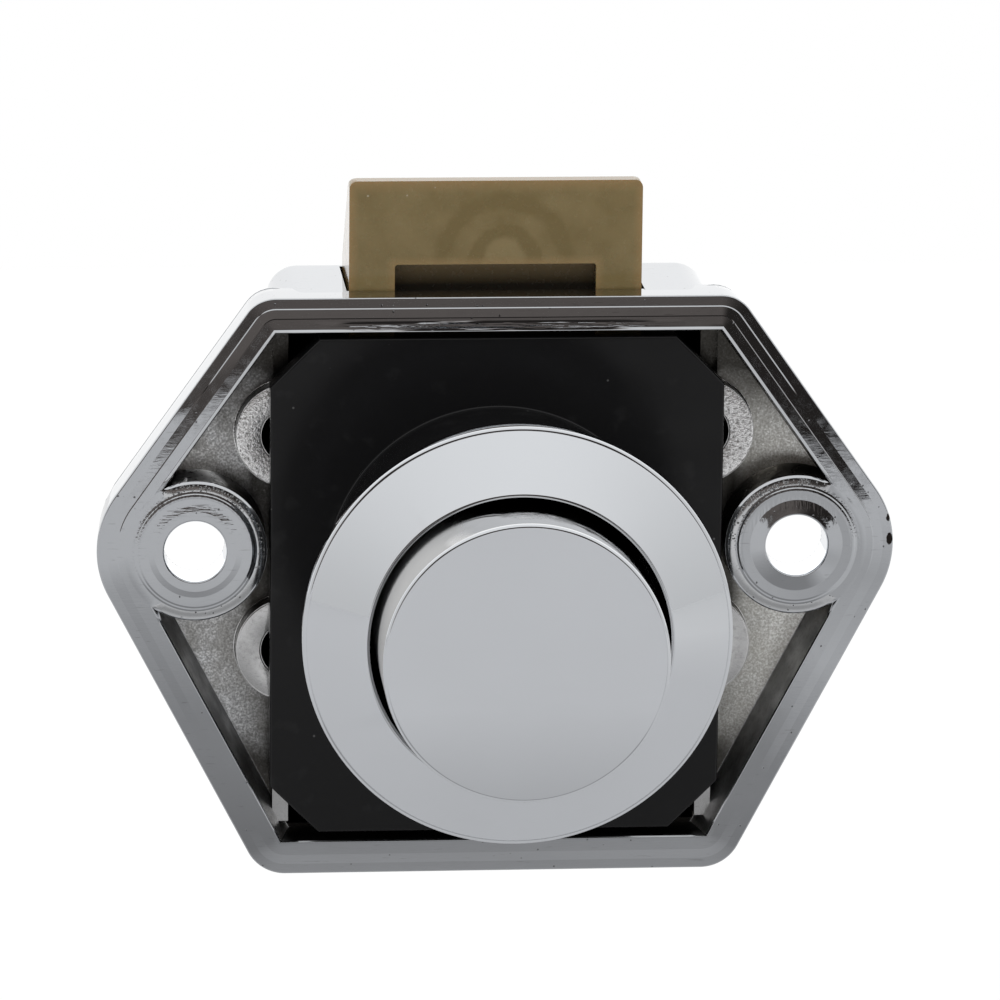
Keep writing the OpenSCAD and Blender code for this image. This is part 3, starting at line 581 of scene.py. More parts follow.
HOLE_X, HOLE_Z, HOLE_R = 22.75, 1.9, 2.35
SIDE_R, BOSS_R = 7.4, 5.4
TOP_Z, BOTTOM_Z = 21.25, -23.55
CORNERS = [
    (16.7, TOP_Z - 2.7, 2.7), (-16.7, TOP_Z - 2.7, 2.7), (-HOLE_X, HOLE_Z, SIDE_R),
    (-15.9, BOTTOM_Z + 3.2, 3.2), (15.9, BOTTOM_Z + 3.2, 3.2), (HOLE_X, HOLE_Z, SIDE_R),
]
RIM_W = 2.6
FLANGE_D, CASE_D = 5.5, 13.6
POCKET_D = 3.8
POST_X, POST_Z, POST_R = 15.6, 8.35, 4.0
POSTS = [(x, HOLE_Z + z) for x in (-POST_X, POST_X) for z in (-POST_Z, POST_Z)]
SLOT_HALF_W, SLOT_FRONT, SLOT_REAR = 11.25, 3.7, 12.3
CAVITY_HALF_W, CAVITY_REAR = 15.6, 12.3
BOX_HALF_W, BOX_TOP, BOX_BOTTOM, BOX_R, BOX_ROUND = 16.8, TOP_Z - 0.15, -22.0, 2.3, 0.9
BOX_FRONT = 2.9
POST_TOP, POST_OUTER, POST_BORE = 2.37, 4.02, 2.08
HOLE_MIDDLE, HOLE_REAR = 1.0, 3.56

# The case's material slots, in the order of the materials that it is given
BRIGHT, FLOOR, GRAINY, SMOOTH, PITTED, WALL, BOSS_WALL, HOLE_WALL, PAINTED_SHADE_SLOT = range(9)

# The pocket's walls: how far the lower slanted ones lean, the fillet at the foot of all, and how much of
# that lean the other walls have
WALL_LEAN, WALL_FOOT = 0.66, 0.08
BOSS_LEAN, LEFT_LEAN, RIGHT_LEAN, LEVEL_LEAN = 0.12, 0.9, 0.32, 0.001
# The upper slanted and the level walls get near-black plating: painted shade.
WALL_SLOTS = {BOSS_LEAN: BOSS_WALL, LEFT_LEAN: PAINTED_SHADE_SLOT, RIGHT_LEAN: PAINTED_SHADE_SLOT, LEVEL_LEAN: PAINTED_SHADE_SLOT}

# How finely arcs (in degrees), straight edges (in millimetres), and holes and bosses (in steps) are divided
ARC_STEP, SPAN, HOLE_STEPS, BOSS_STEPS = 2.5, 1.6, 88, 56


def edge_angle(a, b):
    apart = math.hypot(b[0] - a[0], b[1] - a[1])
    return math.atan2(b[1] - a[1], b[0] - a[0]) - math.acos((a[2] - b[2]) / apart)


EDGE_ANGLES = [edge_angle(CORNERS[i], CORNERS[(i + 1) % 6]) for i in range(6)]
EDGE_NORMALS = np.array([(math.cos(t), math.sin(t)) for t in EDGE_ANGLES])
EDGE_REACH = np.array([c[2] + c[0] * n[0] + c[1] * n[1] for c, n in zip(CORNERS, EDGE_NORMALS)])


def spans(a, b):
    """Points between a and b, without the two, in a number that doesn't depend on the inset."""
    length = math.hypot(b[0] - a[0], b[1] - a[1])
    count = max(1, math.ceil((length + 1.0) / SPAN / 2) * 2)
    return [(a[0] + (b[0] - a[0]) * k / count, a[1] + (b[1] - a[1]) * k / count) for k in range(1, count)]


def case_outline(inset):
    """The case's outline moved inwards, with points at the sides of the bolt's slot."""
    out = []
    for i, (x, z, radius) in enumerate(CORNERS):
        start, end = EDGE_ANGLES[i - 1], EDGE_ANGLES[i]
        while end < start:
            end += 2 * math.pi
        count = max(6, round(math.degrees(end - start) / ARC_STEP))
        ring = circle(x, z, radius - inset, count, start, end - start)
        if i == 1:
            for stop in ((SLOT_HALF_W, ring[0][1]), (-SLOT_HALF_W, ring[0][1])):
                out.extend(spans(out[-1], stop) + [stop])
        if out:
            out.extend(spans(out[-1], ring[0]))
        out.extend(ring)
    out.extend(spans(out[-1], out[0]))
    return out


def miter_corner(i, inset):
    """Where edges i - 1 and i meet, both moved inwards by inset."""
    a, b = EDGE_NORMALS[i - 1], EDGE_NORMALS[i]
    return tuple(np.linalg.solve(np.array([a, b]), EDGE_REACH[[i - 1, i]] - inset))


def edge_distances(points):
    """For each point: its distance inside the nearest straight edge of the outline."""
    return (EDGE_REACH - points @ EDGE_NORMALS.T).min(axis=1)


def hole_distances(points):
    """For each point: its distance from the axis of the fixing hole on its side."""
    return np.hypot(np.abs(points[:, 0]) - HOLE_X, points[:, 1] - HOLE_Z)


def rim_distances(points):
    """For each point: its distance inside the rounded outline, and inside the mitred one."""
    rounded = edge_distances(points)
    mitred = rounded.copy()
    along = np.stack([-EDGE_NORMALS[:, 1], EDGE_NORMALS[:, 0]], axis=1)
    for i, (x, z, radius) in enumerate(CORNERS):
        v = points - np.array((x, z))
        inside = (v @ along[i - 1] > 0) & (v @ along[i] < 0)
        rounded[inside] = radius - np.hypot(v[inside, 0], v[inside, 1])
        if radius == SIDE_R:
            mitred[inside] = rounded[inside]
    return rounded, mitred


# Depths of the flange's front as pairs (distance, depth), level beyond their ends. RIM goes by the distance
# inside the outer edge, and RIM_LINE, RIM_STEP and RIM_TOP add to it, each setting in between the two
# heights in RIM_HEIGHTS. BEAD and EDGE_BELOW add to it by the distance from the pocket's edge, above and
# below the holes' height. BOSS on the left and BOSS_RIGHT go by the distance from a fixing hole's axis, and
# share a COLLAR. LIP adds to both by the distance from their outer edge, where they border on the pocket.
EDGE_D = 0.38
RIM = [(0, EDGE_D), (0.015, 0.3), (0.04, 0.262), (0.08, 0.248), (0.11, 0.244), (0.78, 0.2125), (1.5, 0.165),
       (2.1, 0.135), (2.6, 0.11)]
RIM_LINE = [(1.5, 0.012), (1.57, 0.0)]
RIM_STEP = [(0.76, 0.03), (0.85, 0.0)]
RIM_TOP = [(0.83, 0.026), (1.5, 0.0)]
RIM_HEIGHTS = ((12.5, 15.5, RIM_STEP), (-2.0, 5.0, RIM_LINE), (15.0, 18.0, RIM_TOP))
BEAD = [(0.0, 0.05), (0.03, -0.07), (0.05, -0.088), (0.07, -0.086), (0.25, -0.005), (0.27, 0.0)]
EDGE_BELOW = [(0.0, 0.1), (0.03, 0.05), (0.06, 0.022), (0.09, 0.006), (0.13, 0.0)]
COLLAR = [(4.26, 0.03), (4.28, 0.031), (4.4, 0.046), (4.42, 0.052), (4.5, 0.086), (4.52, 0.091),
          (4.64, 0.106), (4.66, 0.107)]
COLLAR_DROP = 0.011
BOSS = [(HOLE_R, 0.14), (2.37, 0.06), (2.4, 0.02), (2.44, 0.004), (2.47, 0.0), (3.1, 0.002), (3.55, 0.025),
        *COLLAR, (5.28, 0.112), (BOSS_R, 0.113)]
BOSS_RIGHT = [(HOLE_R, 0.14), (2.37, 0.04), (2.4, -0.02), (2.44, -0.05), (2.48, -0.055), (3.5, 0.035),
              (3.54, 0.037), *((reach, depth + COLLAR_DROP) for reach, depth in COLLAR), (5.28, 0.121),
              (BOSS_R, 0.122)]
LIP = [(0.0, 0.15), (0.04, 0.11), (0.09, 0.06), (0.14, 0.022), (0.16, 0.012), (0.19, 0.0)]

# The turn in which a lip fades out, where the pitted part of a boss begins, and how close beside the
# distances of a table the extra points lie that keep its steps crisp
LIP_FADE = 0.12
PITTED_R = COLLAR[-1][0]
CRISP = 0.009


def along_table(values, table):
    return np.interp(values, [a for a, _ in table], [b for _, b in table])


def eased(values, low, high):
    t = np.clip((values - low) / (high - low), 0.0, 1.0)
    return t * t * (3 - 2 * t)


def front_depth(points):
    """Depth of the flange's front face at points (x, z)."""
    rounded, mitred = rim_distances(points)
    z = points[:, 1]
    depth = along_table(rounded, RIM)
    for low, high, table in RIM_HEIGHTS:
        depth = depth + eased(z, low, high) * along_table(rounded, table)
    reach = hole_distances(points)
    inside = RIM_W - mitred
    edge = np.where(z > HOLE_Z, along_table(inside, BEAD), along_table(inside, EDGE_BELOW))
    beside = depth + np.where(reach < BOSS_R, 0.0, edge)
    boss = np.where(points[:, 0] > 0, along_table(reach, BOSS_RIGHT), along_table(reach, BOSS))
    boss = boss + along_table(BOSS_R - reach, LIP) * lip_share(points)
    merged = np.where(on_lip(points), 1.0 * (reach > BOSS_R + 0.0002), eased(reach, PITTED_R, BOSS_R))
    return np.minimum(boss * (1 - merged) + beside * merged, EDGE_D)


def on_lip(points):
    """Whether points lie where a boss borders on the pocket."""
    return lip_share(points) > 0


def lip_share(points):
    """1 where a boss borders on the pocket, falling to 0 at the pocket's corners."""
    turn = np.arctan2(points[:, 1] - HOLE_Z, HOLE_X - np.abs(points[:, 0]))
    return np.clip(np.minimum(LIP_TURNS[0] - turn, turn - LIP_TURNS[1]) / LIP_FADE, 0.0, 1.0)


def front_normals(points):
    step = 0.004
    slopes = []
    for axis in (0, 1):
        move = np.zeros(2)
        move[axis] = step
        slopes.append((front_depth(points + move) - front_depth(points - move)) / (2 * step))
    normals = np.stack([slopes[0], -np.ones(len(points)), slopes[1]], axis=1)
    return normals / np.linalg.norm(normals, axis=1)[:, None]


def pocket_side(inset, top):
    """The straight edges of the pocket over the top or under the bottom, from one boss to the other."""
    first, second = (0, 1) if top else (3, 4)
    before, after = (5, 2) if top else (2, 5)
    depth = SIDE_R - inset
    ends = []
    for corner, edge, way in ((before, EDGE_NORMALS[first - 1], 1), (after, EDGE_NORMALS[second], -1)):
        centre = np.array(CORNERS[corner][:2])
        along = np.array((-edge[1], edge[0])) * way
        ends.append(tuple(centre + edge * depth + along * math.sqrt(BOSS_R ** 2 - depth ** 2)))
    corners = [ends[0], miter_corner(first, inset), miter_corner(second, inset), ends[1]]
    out = [corners[0]]
    for a, b in zip(corners, corners[1:]):
        out.extend(spans(a, b) + [b])
    return out


LIP_ENDS = (pocket_side(RIM_W, True)[-1], pocket_side(RIM_W, False)[0])
LIP_TURNS = [math.atan2(z - HOLE_Z, HOLE_X + x) for x, z in LIP_ENDS]


def boss_arc(start, end, centre_x):
    """The boss's edge on the side that faces the plate, between two points."""
    a, b = (math.atan2(z - HOLE_Z, x - centre_x) for x, z in (start, end))
    return circle(centre_x, HOLE_Z, BOSS_R, BOSS_STEPS, a, -((a - b) % (2 * math.pi)))[1:-1]


def pocket_outline():
    top, bottom = pocket_side(RIM_W, True), pocket_side(RIM_W, False)
    return top + boss_arc(top[-1], bottom[0], -HOLE_X) + bottom + boss_arc(bottom[-1], top[0], HOLE_X)


def triangulate(loops, lines, keep):
    """Triangles between loops and along open lines, where keep holds for their centres."""
    points, edges = [], []
    for loop, closed in [(l, True) for l in loops] + [(l, False) for l in lines]:
        first = len(points)
        points.extend(loop)
        count = len(loop)
        edges.extend((first + i, first + (i + 1) % count) for i in range(count if closed else count - 1))
    made, _, faces, *_ = geometry.delaunay_2d_cdt([Vector(p) for p in points], edges, [], 0, 1e-5)
    flat = np.array([tuple(p) for p in made])
    faces = np.array([tuple(f) for f in faces])
    return flat, faces[keep(flat[faces].mean(axis=1))]


def in_front_face(points):
    rounded, _ = rim_distances(points)
    reach = hole_distances(points)
    middle = np.abs(points[:, 0]) < HOLE_X + BOSS_R / 2
    pocket = (edge_distances(points) > RIM_W) & (reach > BOSS_R) & middle
    return (rounded > 0) & ~pocket & (reach > HOLE_R)


def crisp(table, limit):
    """The distances in a table up to a limit, each with a neighbour on both sides."""
    first = table[0][0]
    found = {round(a + way * CRISP, 4) for a, _ in table for way in (-1, 0, 1) if 0 <= a + way * CRISP}
    return sorted(d for d in found if first <= d <= limit and (d == first or d > first + CRISP / 2))


def case_front(shape):
    """The flange's front face, with its depths, and rough where the bosses' collars are pitted."""
    loops = [case_outline(inset) for inset in crisp(RIM + RIM_LINE + RIM_STEP, 2.2) + [1.1]]
    lines = [pocket_side(RIM_W - inset, top)
             for inset in crisp(BEAD, 0.3)[1:] + [0.1, 0.18] for top in (True, False)]
    bosses = [circle(x, HOLE_Z, reach, HOLE_STEPS) for x, table in ((-HOLE_X, BOSS), (HOLE_X, BOSS_RIGHT))
              for reach in crisp(table, 5.19) + [5.21, 5.24, 5.26, 5.31, 5.36, 5.39]]
    flat, faces = triangulate(loops + [pocket_outline()] + bosses, lines, in_front_face)
    ids = shape.add_points([(x, y, z) for (x, z), y in zip(flat, front_depth(flat))])
    middles = flat[faces].mean(axis=1)
    reach = hole_distances(middles)
    pitted = (reach > PITTED_R) & (reach < BOSS_R - 0.2) & on_lip(middles)
    for face, rough in zip(faces, pitted):
        shape.face([ids[k] for k in face], PITTED if rough else BRIGHT)


def drop_wall(shape, outline, steps, slot, shares):
    """A wall from the front face's edge down through steps of a depth and a lean, which each side has a
    share of. Sides with a share in WALL_SLOTS get its slot."""
    rows = [[(x, y, z) for (x, z), y in zip(outline, front_depth(np.array(outline)))]]
    rows += [at_depth(shrink(outline, [lean * share for share in shares]), depth) for depth, lean in steps]
    made = [shape.add_points(row) for row in rows]
    for a, b in zip(made, made[1:]):
        for k, share in enumerate(shares):
            j = (k + 1) % len(outline)
            shape.face((a[k], a[j], b[j], b[k]), WALL_SLOTS.get(share, slot))


def wall_shares(outline):
    """How much each side of the pocket's outline leans, as a share of the most."""
    shares = []
    for a, b, (x, z) in zip(outline, outline[1:] + outline[:1], side_middles(outline)):
        if abs(math.hypot(abs(x) - HOLE_X, z - HOLE_Z) - BOSS_R) < 0.05:
            shares.append(BOSS_LEAN)
        elif abs(a[1] - b[1]) < 1e-6:
            shares.append(LEVEL_LEAN)
        else:
            shares.append(1.0 if z < HOLE_Z else LEFT_LEAN if x < 0 else RIGHT_LEAN)
    return shares


def sides_in_slot(outline, top):
    """For each side of an outline with that top, whether it lies in the bolt's slot."""
    return [z > top - 0.01 and abs(x) < SLOT_HALF_W for x, z in side_middles(outline)]


def case_side(shape):
    """The flange's drafted edge, with the bolt's slot open at the top."""
    profile = [(0.0, EDGE_D), (0.01, 0.7), (0.05, 1.5), (0.19, SLOT_FRONT), (0.27, 5.1), (0.33, 5.3),
               (0.45, 5.44), (0.65, FLANGE_D - 0.005)]
    rows = [shape.add_points(at_depth(case_outline(inset), depth)) for inset, depth in profile]
    in_slot = sides_in_slot(case_outline(0.0), TOP_Z)
    for a, b, (_, depth) in zip(rows, rows[1:], profile):
        shape.band(a, b, BRIGHT, in_slot if depth >= SLOT_FRONT else None)


def box_outline(inset):
    """The rear box's outline, counter-clockwise, with points at the slot's sides and at the posts."""
    low, high, half = BOX_BOTTOM + inset, BOX_TOP - inset, BOX_HALF_W - inset
    reach = math.sqrt(POST_R ** 2 - (BOX_HALF_W - POST_X) ** 2)
    beside = [HOLE_Z + z + way * reach for z in (-POST_Z, POST_Z) for way in (-1, 1)]
    corners = (
        ([(half, z) for z in beside], half - BOX_R, high - BOX_R),
        ([(x, high) for x in (SLOT_HALF_W, 0.0, -SLOT_HALF_W)], BOX_R - half, high - BOX_R),
        ([(-half, z) for z in reversed(beside)], BOX_R - half, low + BOX_R),
        ([], half - BOX_R, low + BOX_R),
    )
    out = []
    for k, (before, x, z) in enumerate(corners):
        out.extend(before + circle(x, z, BOX_R, 14, math.radians(90 * k), math.pi / 2))
    return out


def case_box(shape):
    """The rear box's side and soft rear edge, with the bolt's slot open at the top."""
    rear = CASE_D - 0.005
    profile = [(0.0, BOX_FRONT), (0.0, SLOT_REAR), (0.0, CASE_D - BOX_ROUND)]
    profile += [(BOX_ROUND * b, rear - BOX_ROUND * a) for a, b in quarter(8)[1:]]
    profile.append((BOX_ROUND + 0.15, CASE_D - 0.006))
    rows = [shape.add_points(at_depth(box_outline(inset), depth)) for inset, depth in profile]
    base = box_outline(0.0)
    in_post = [any(math.hypot(a - x, b - z) < POST_R for x, z in POSTS) for a, b in side_middles(base)]
    in_either = [post or slot for post, slot in zip(in_post, sides_in_slot(base, BOX_TOP))]
    shape.band(rows[0], rows[1], BRIGHT, in_either)
    for a, b in zip(rows[1:], rows[2:]):
        shape.band(a, b, BRIGHT, in_post)


def case_rest(shape):
    """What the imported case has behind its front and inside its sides."""
    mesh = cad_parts["housing"].data
    points = np.array([v.co for v in mesh.vertices]) / MM
    ids = shape.add_points(points)
    margin = BOX_ROUND + 0.3
    for polygon in mesh.polygons:
        corners = points[list(polygon.vertices)]
        low, high = corners.min(axis=0), corners.max(axis=0)
        normal = polygon.normal
        reach = min(np.abs(np.hypot(corners[:, 0] - x, corners[:, 2] - z) - POST_R).max() for x, z in POSTS)
        near_side = (low[0] > BOX_HALF_W - margin or high[0] < margin - BOX_HALF_W
                     or low[2] > BOX_TOP - margin or high[2] < BOX_BOTTOM + margin)
        outside = (near_side and high[1] > FLANGE_D and abs(normal.y) < 0.99 and reach > 0.03
                   and outward(corners.mean(axis=0), normal))
        if low[1] < POST_TOP - 0.07 or outside:
            continue
        if normal.y < -0.9 and high[1] < POCKET_D + 0.1:
            slot = FLOOR if high[1] > POCKET_D - 0.5 else SMOOTH
        else:
            inside = abs(corners[:, 0]).max() < CAVITY_HALF_W + 0.05 and high[1] < CAVITY_REAR + 0.05
            # Faces inside the cavity get the near-black plating too: painted shade.
            slot = PAINTED_SHADE_SLOT if inside else BRIGHT
        shape.face([ids[k] for k in polygon.vertices], slot)


def outward(centre, normal):
    """Whether a side face of the box looks away from the box's middle."""
    return centre[0] * normal.x + centre[2] * normal.z > 0


def posts(shape):
    """The four posts, with soft edges and a fillet at their foot, grainy above and smooth below."""
    lead, soft, foot = 0.15, 0.14, 0.1
    profile = [(POST_BORE, 5.0)] + [(POST_BORE + lead * b, POST_TOP + lead * a) for a, b in quarter(4)]
    profile += [(POST_OUTER - soft * a, POST_TOP + soft * b) for a, b in quarter(6)]
    profile += [(POST_OUTER + foot * b, POCKET_D - foot * a) for a, b in quarter(4)]
    for x, z in POSTS:
        shape.lathe(profile, 72, GRAINY if z > HOLE_Z else SMOOTH, closed=False, centre=(x, z))


def housing(*materials):
    shape = Shape()
    case_front(shape)
    case_side(shape)
    case_box(shape)
    foot = [(POCKET_D - WALL_FOOT * a - 0.01, WALL_LEAN + WALL_FOOT * b) for a, b in quarter(5)]
    drop_wall(shape, pocket_outline(), foot, WALL, wall_shares(pocket_outline()))
    for x in (-HOLE_X, HOLE_X):
        hole = circle(x, HOLE_Z, HOLE_R, HOLE_STEPS)
        drop_wall(shape, hole, ((HOLE_MIDDLE, 0.0), (HOLE_REAR, 0.0)), HOLE_WALL, [0.0] * HOLE_STEPS)
    case_rest(shape)
    posts(shape)
    piece = shape.build("case_shell", materials)
    smooth_front(piece)
    finish_piece(piece, "case", "housing")


def smooth_front(piece):
    """Gives the front face the normals of its exact shape."""
    mesh = piece.data
    seen = piece.evaluated_get(bpy.context.evaluated_depsgraph_get()).data
    given = np.array([tuple(c.vector) for c in seen.corner_normals])
    piece.modifiers.remove(piece.modifiers["flat_faces"])
    points = np.array([v.co for v in mesh.vertices]) / MM
    normals = front_normals(points[:, [0, 2]])
    for polygon in mesh.polygons:
        if polygon.normal.y < 0 and points[list(polygon.vertices), 1].max() <= EDGE_D + 1e-6:
            for k in polygon.loop_indices:
                given[k] = normals[mesh.loops[k].vertex_index]
    mesh.normals_split_custom_set([tuple(n) for n in given])


# The black plate and its sleeve

PLATE_HALF_W, PLATE_TOP, PLATE_BOTTOM, PLATE_CUT, PLATE_SOFT = 17.1, 18.1, -20.4, 3.7, 0.16
PLATE_FRONT, PLATE_REAR = 0.5, 2.4
SLEEVE_R, SLEEVE_BORE, SLEEVE_END = 12.75, 11.95, -17.5
SLEEVE_FOOT = 0.15
PEG_R, PEG_END = 2.05, 9.6

# A gap that keeps the plate's flat front from being welded to the round edges beside it
APART = 0.001


def sleeve_plate(black):
    half, top, bottom, cut = PLATE_HALF_W, PLATE_TOP, PLATE_BOTTOM, PLATE_CUT
    outline = [(half - cut, top), (cut - half, top), (-half, top - cut), (-half, bottom + cut),
               (cut - half, bottom), (half - cut, bottom), (half, bottom + cut), (half, top - cut)]
    shape = Shape()
    hole = circle(0, 0, SLEEVE_R + SLEEVE_FOOT + APART, 160)
    flat, faces = triangulate([shrink(outline, PLATE_SOFT), hole], [], in_plate_face)
    ids = shape.add_points(at_depth(flat, PLATE_FRONT))
    for face in faces:
        shape.face([ids[k] for k in face])
    rows = [at_depth(shrink(outline, max(0.0, PLATE_SOFT * a - APART)), PLATE_FRONT + PLATE_SOFT * b)
            for a, b in quarter(4)]
    made = shape.rows(rows + [at_depth(outline, PLATE_REAR)])
    shape.face(made[-1])
    profile = [(SLEEVE_R + SLEEVE_FOOT * a, PLATE_FRONT - SLEEVE_FOOT * b) for a, b in quarter(6)]
    profile += [(SLEEVE_R, -0.3), (SLEEVE_R, SLEEVE_END + 0.3), (SLEEVE_R - 0.1, SLEEVE_END + 0.08),
                (SLEEVE_R - 0.3, SLEEVE_END), (SLEEVE_BORE + 0.1, SLEEVE_END),
                (SLEEVE_BORE, SLEEVE_END + 0.15), (SLEEVE_BORE, PLATE_FRONT + 1.0)]
    shape.lathe(profile, 160, closed=False)
    peg = [(0.01, PEG_END), (PEG_R, PEG_END), (PEG_R, PLATE_REAR)]
    for centre in POSTS:
        shape.lathe(peg, 48, closed=False, centre=centre)
    finish_piece(shape.build("sleeve_moulding", [black]), "case", "sleeve_plate")


def in_plate_face(points):
    """Whether points lie on the plate's flat front: inside its soft edge and outside the sleeve."""
    x, z = np.abs(points[:, 0]), points[:, 1]
    half, top, bottom = PLATE_HALF_W - PLATE_SOFT, PLATE_TOP - PLATE_SOFT, PLATE_BOTTOM + PLATE_SOFT
    cut = PLATE_CUT - PLATE_SOFT * (2 - math.sqrt(2))
    return ((np.hypot(x, z) > SLEEVE_R + SLEEVE_FOOT - 0.01) & (x < half) & (z < top) & (z > bottom)
            & (x + z < half + top - cut) & (x - z < half - bottom - cut))


# The trim ring, the knob, the bolt and the springs

RING_R, RING_HOLE_R, RING_EDGE_Y, RING_LIP_Y = 15.76, 10.95, -18.25, -20.65
RING_REAR_Y, RING_REAR_R = -17.15, 14.8
RING_UNDER_INNER_Y, RING_UNDER_OUTER_Y = -19.2, -17.6
SKIRT_R, SKIRT_END_Y = 11.8, -11.15
KNOB_R, KNOB_FACE_Y, KNOB_REAR_Y = 10.4, -25.75, -14.75
KNOB_WALL, KNOB_FLOOR = 0.7, 0.9
BOLT_TOP_Z, BOLT_SIDE_X, BOLT_SOFT = 29.4, 10.8, 0.16


def turned(name, corners, materials):
    """A piece turned from a closed profile of (radius, depth, rounding) corners."""
    shape = Shape()
    shape.lathe(fillet(corners), 256)
    return shape.build(name, materials, 40.0)


def trim_ring(bright):
    piece = turned("ring_turned", [
        (RING_REAR_R, RING_REAR_Y, 0.0), (RING_R, RING_REAR_Y, 0.15), (RING_R, RING_EDGE_Y, 0.18),
        (RING_R - 0.24, RING_EDGE_Y - 0.12, 0.0), (RING_R - 0.31, RING_EDGE_Y - 0.115, 0.0),
        (RING_R - 0.37, RING_EDGE_Y - 0.19, 0.0),
        (RING_HOLE_R, RING_LIP_Y, 0.24), (RING_HOLE_R, SKIRT_END_Y, 0.1), (SKIRT_R, SKIRT_END_Y, 0.1),
        (SKIRT_R, RING_UNDER_INNER_Y, 0.2), (RING_REAR_R, RING_UNDER_OUTER_Y, 0.2),
    ], [bright])
    finish_piece(piece, "case", "trim_ring")


def knob_cap(bright, side):
    inner, floor = KNOB_R - KNOB_WALL, KNOB_FACE_Y + KNOB_FLOOR
    piece = turned("knob_cup", [
        (KNOB_R, KNOB_FACE_Y, 0.28), (KNOB_R, KNOB_REAR_Y, 0.12), (inner, KNOB_REAR_Y, 0.12),
        (inner, floor, 0.3), (0.0, floor, 0.0), (0.0, KNOB_FACE_Y, 0.0),
    ], [bright, side])
    for polygon in piece.data.polygons:
        if math.hypot(polygon.center.x, polygon.center.z) > (KNOB_R - 0.02) * MM:
            polygon.material_index = 1
    finish_piece(piece, "knob", "knob_cap")


def bolt(body, edge, top, side):
    """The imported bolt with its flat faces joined, and its notch's corners and its edges rounded."""
    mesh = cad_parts["bolt"].data.copy()
    mesh.name = "bolt_moulding"
    give_materials(mesh, body, edge, top, side)
    work = bmesh.new()
    work.from_mesh(mesh)
    bmesh.ops.remove_doubles(work, verts=work.verts, dist=1e-6)
    bmesh.ops.dissolve_limit(work, angle_limit=math.radians(1.0), verts=work.verts, edges=work.edges)
    for face in work.faces:
        face.material_index = 0
    for x in (-NOTCH_HALF_W, NOTCH_HALF_W):
        corner = [e for e in work.edges
                  if all(math.hypot(v.co.x - x * MM, v.co.z - NOTCH_TOP * MM) < 1e-5 for v in e.verts)]
        bmesh.ops.bevel(work, geom=corner, offset=NOTCH_ROUND * MM, segments=6, affect="EDGES", profile=0.5)
    # The rounded edges take the second material, a paler brown: painted edge glow.
    sharp = [e for e in work.edges if len(e.link_faces) == 2 and e.calc_face_angle(0) > math.radians(35)]
    bmesh.ops.bevel(work, geom=sharp, offset=BOLT_SOFT * MM, segments=3, affect="EDGES", profile=0.5,
                    clamp_overlap=True, material=1, harden_normals=False)
    work.to_mesh(mesh)
    work.free()
    piece = shaded("bolt_moulding", mesh)
    for polygon in mesh.polygons:
        # The top face takes a pale copy of the nylon: a painted sheen of reflected light.
        if polygon.normal.z > 0.9 and polygon.center.z > (BOLT_TOP_Z - 0.5) * MM:
            polygon.material_index = 2
        elif abs(polygon.normal.x) > 0.9 and abs(polygon.center.x) > BOLT_SIDE_X * MM:
            polygon.material_index = 3
    finish_piece(piece, "bolt", "bolt")


def spring(node, body, material):
    """A packed spring, copied from the imported one, riding on its body."""
    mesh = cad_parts[node].data.copy()
    mesh.name = node + "_coil"
    give_materials(mesh, material)
    piece = new_object(node + "_coil", mesh)
    finish_piece(piece, body, node)
    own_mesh(piece)


# The studio. Polished faces show a dark room in front of them, with a half width, a top and a soft edge,
# and in it a lit band just under the horizon.

ROOM_HALF_W, ROOM_TOP, ROOM_EDGE = (math.radians(a) for a in (24, 20, 7))
ROOM_DARK, ROOM_LIT = 0.03, 0.14
ROOM_COLOR = (1.0, 0.88, 0.82)
SKY_LOW, SKY_TOP, SKY_BEHIND = 0.77, 1.1, 0.37
DIFFUSE_SKY = 0.62
TABLE_Z, TABLE_REACH = -52.0, 2500.0
TABLE_FRONT, TABLE_FRONT_RIGHT, TABLE_BACK = -372.0, -320.0, 350.0


def make_world():
    """White all round, with a darker room behind the camera, which only polished metal shows."""
    world = bpy.data.worlds.new("studio")
    bpy.context.scene.world = world
    world.use_nodes = True
    n = Nodes(world.node_tree)
    x, y, z = n.xyz(n.places["Generated"])
    aside = n.absolute(n.math("ARCTAN2", n.plus(x, 0.03), n.times(y, -1.0)))
    height = n.math("ARCSINE", z)
    room = n.times(n.step(aside, ROOM_HALF_W + ROOM_EDGE, ROOM_HALF_W),
                   n.step(height, ROOM_TOP + ROOM_EDGE, ROOM_TOP))
    above = n.times(n.step(height, math.radians(-12), math.radians(48)), SKY_TOP - SKY_LOW)
    behind = n.times(n.step(y, -0.2, 0.5), SKY_BEHIND)
    clear_sky = n.plus(above, n.plus(behind, SKY_LOW))
    lit = n.times(n.step(height, math.radians(-13), math.radians(-5)),
                  n.opposite(n.step(height, math.radians(-1), math.radians(4))))
    lit = n.times(lit, n.opposite(n.step(x, 0.1, 0.2)))
    room_tone = n.math("MULTIPLY_ADD", lit, ROOM_LIT, ROOM_DARK)
    seen = n.plus(n.times(clear_sky, n.opposite(room)), n.times(room, room_tone))
    path = n.add("ShaderNodeLightPath").outputs
    glossy = path["Is Glossy Ray"]
    direct = n.plus(path["Is Camera Ray"], path["Is Transmission Ray"])
    plain = n.opposite(n.plus(direct, glossy))
    strength = n.math("MULTIPLY_ADD", plain, DIFFUSE_SKY, n.math("MULTIPLY_ADD", glossy, seen, direct))
    background = n.tree.nodes["Background"].inputs
    n.put(background["Color"], n.mix(n.times(room, glossy), gray(1.0), ROOM_COLOR))
    n.put(background["Strength"], strength)


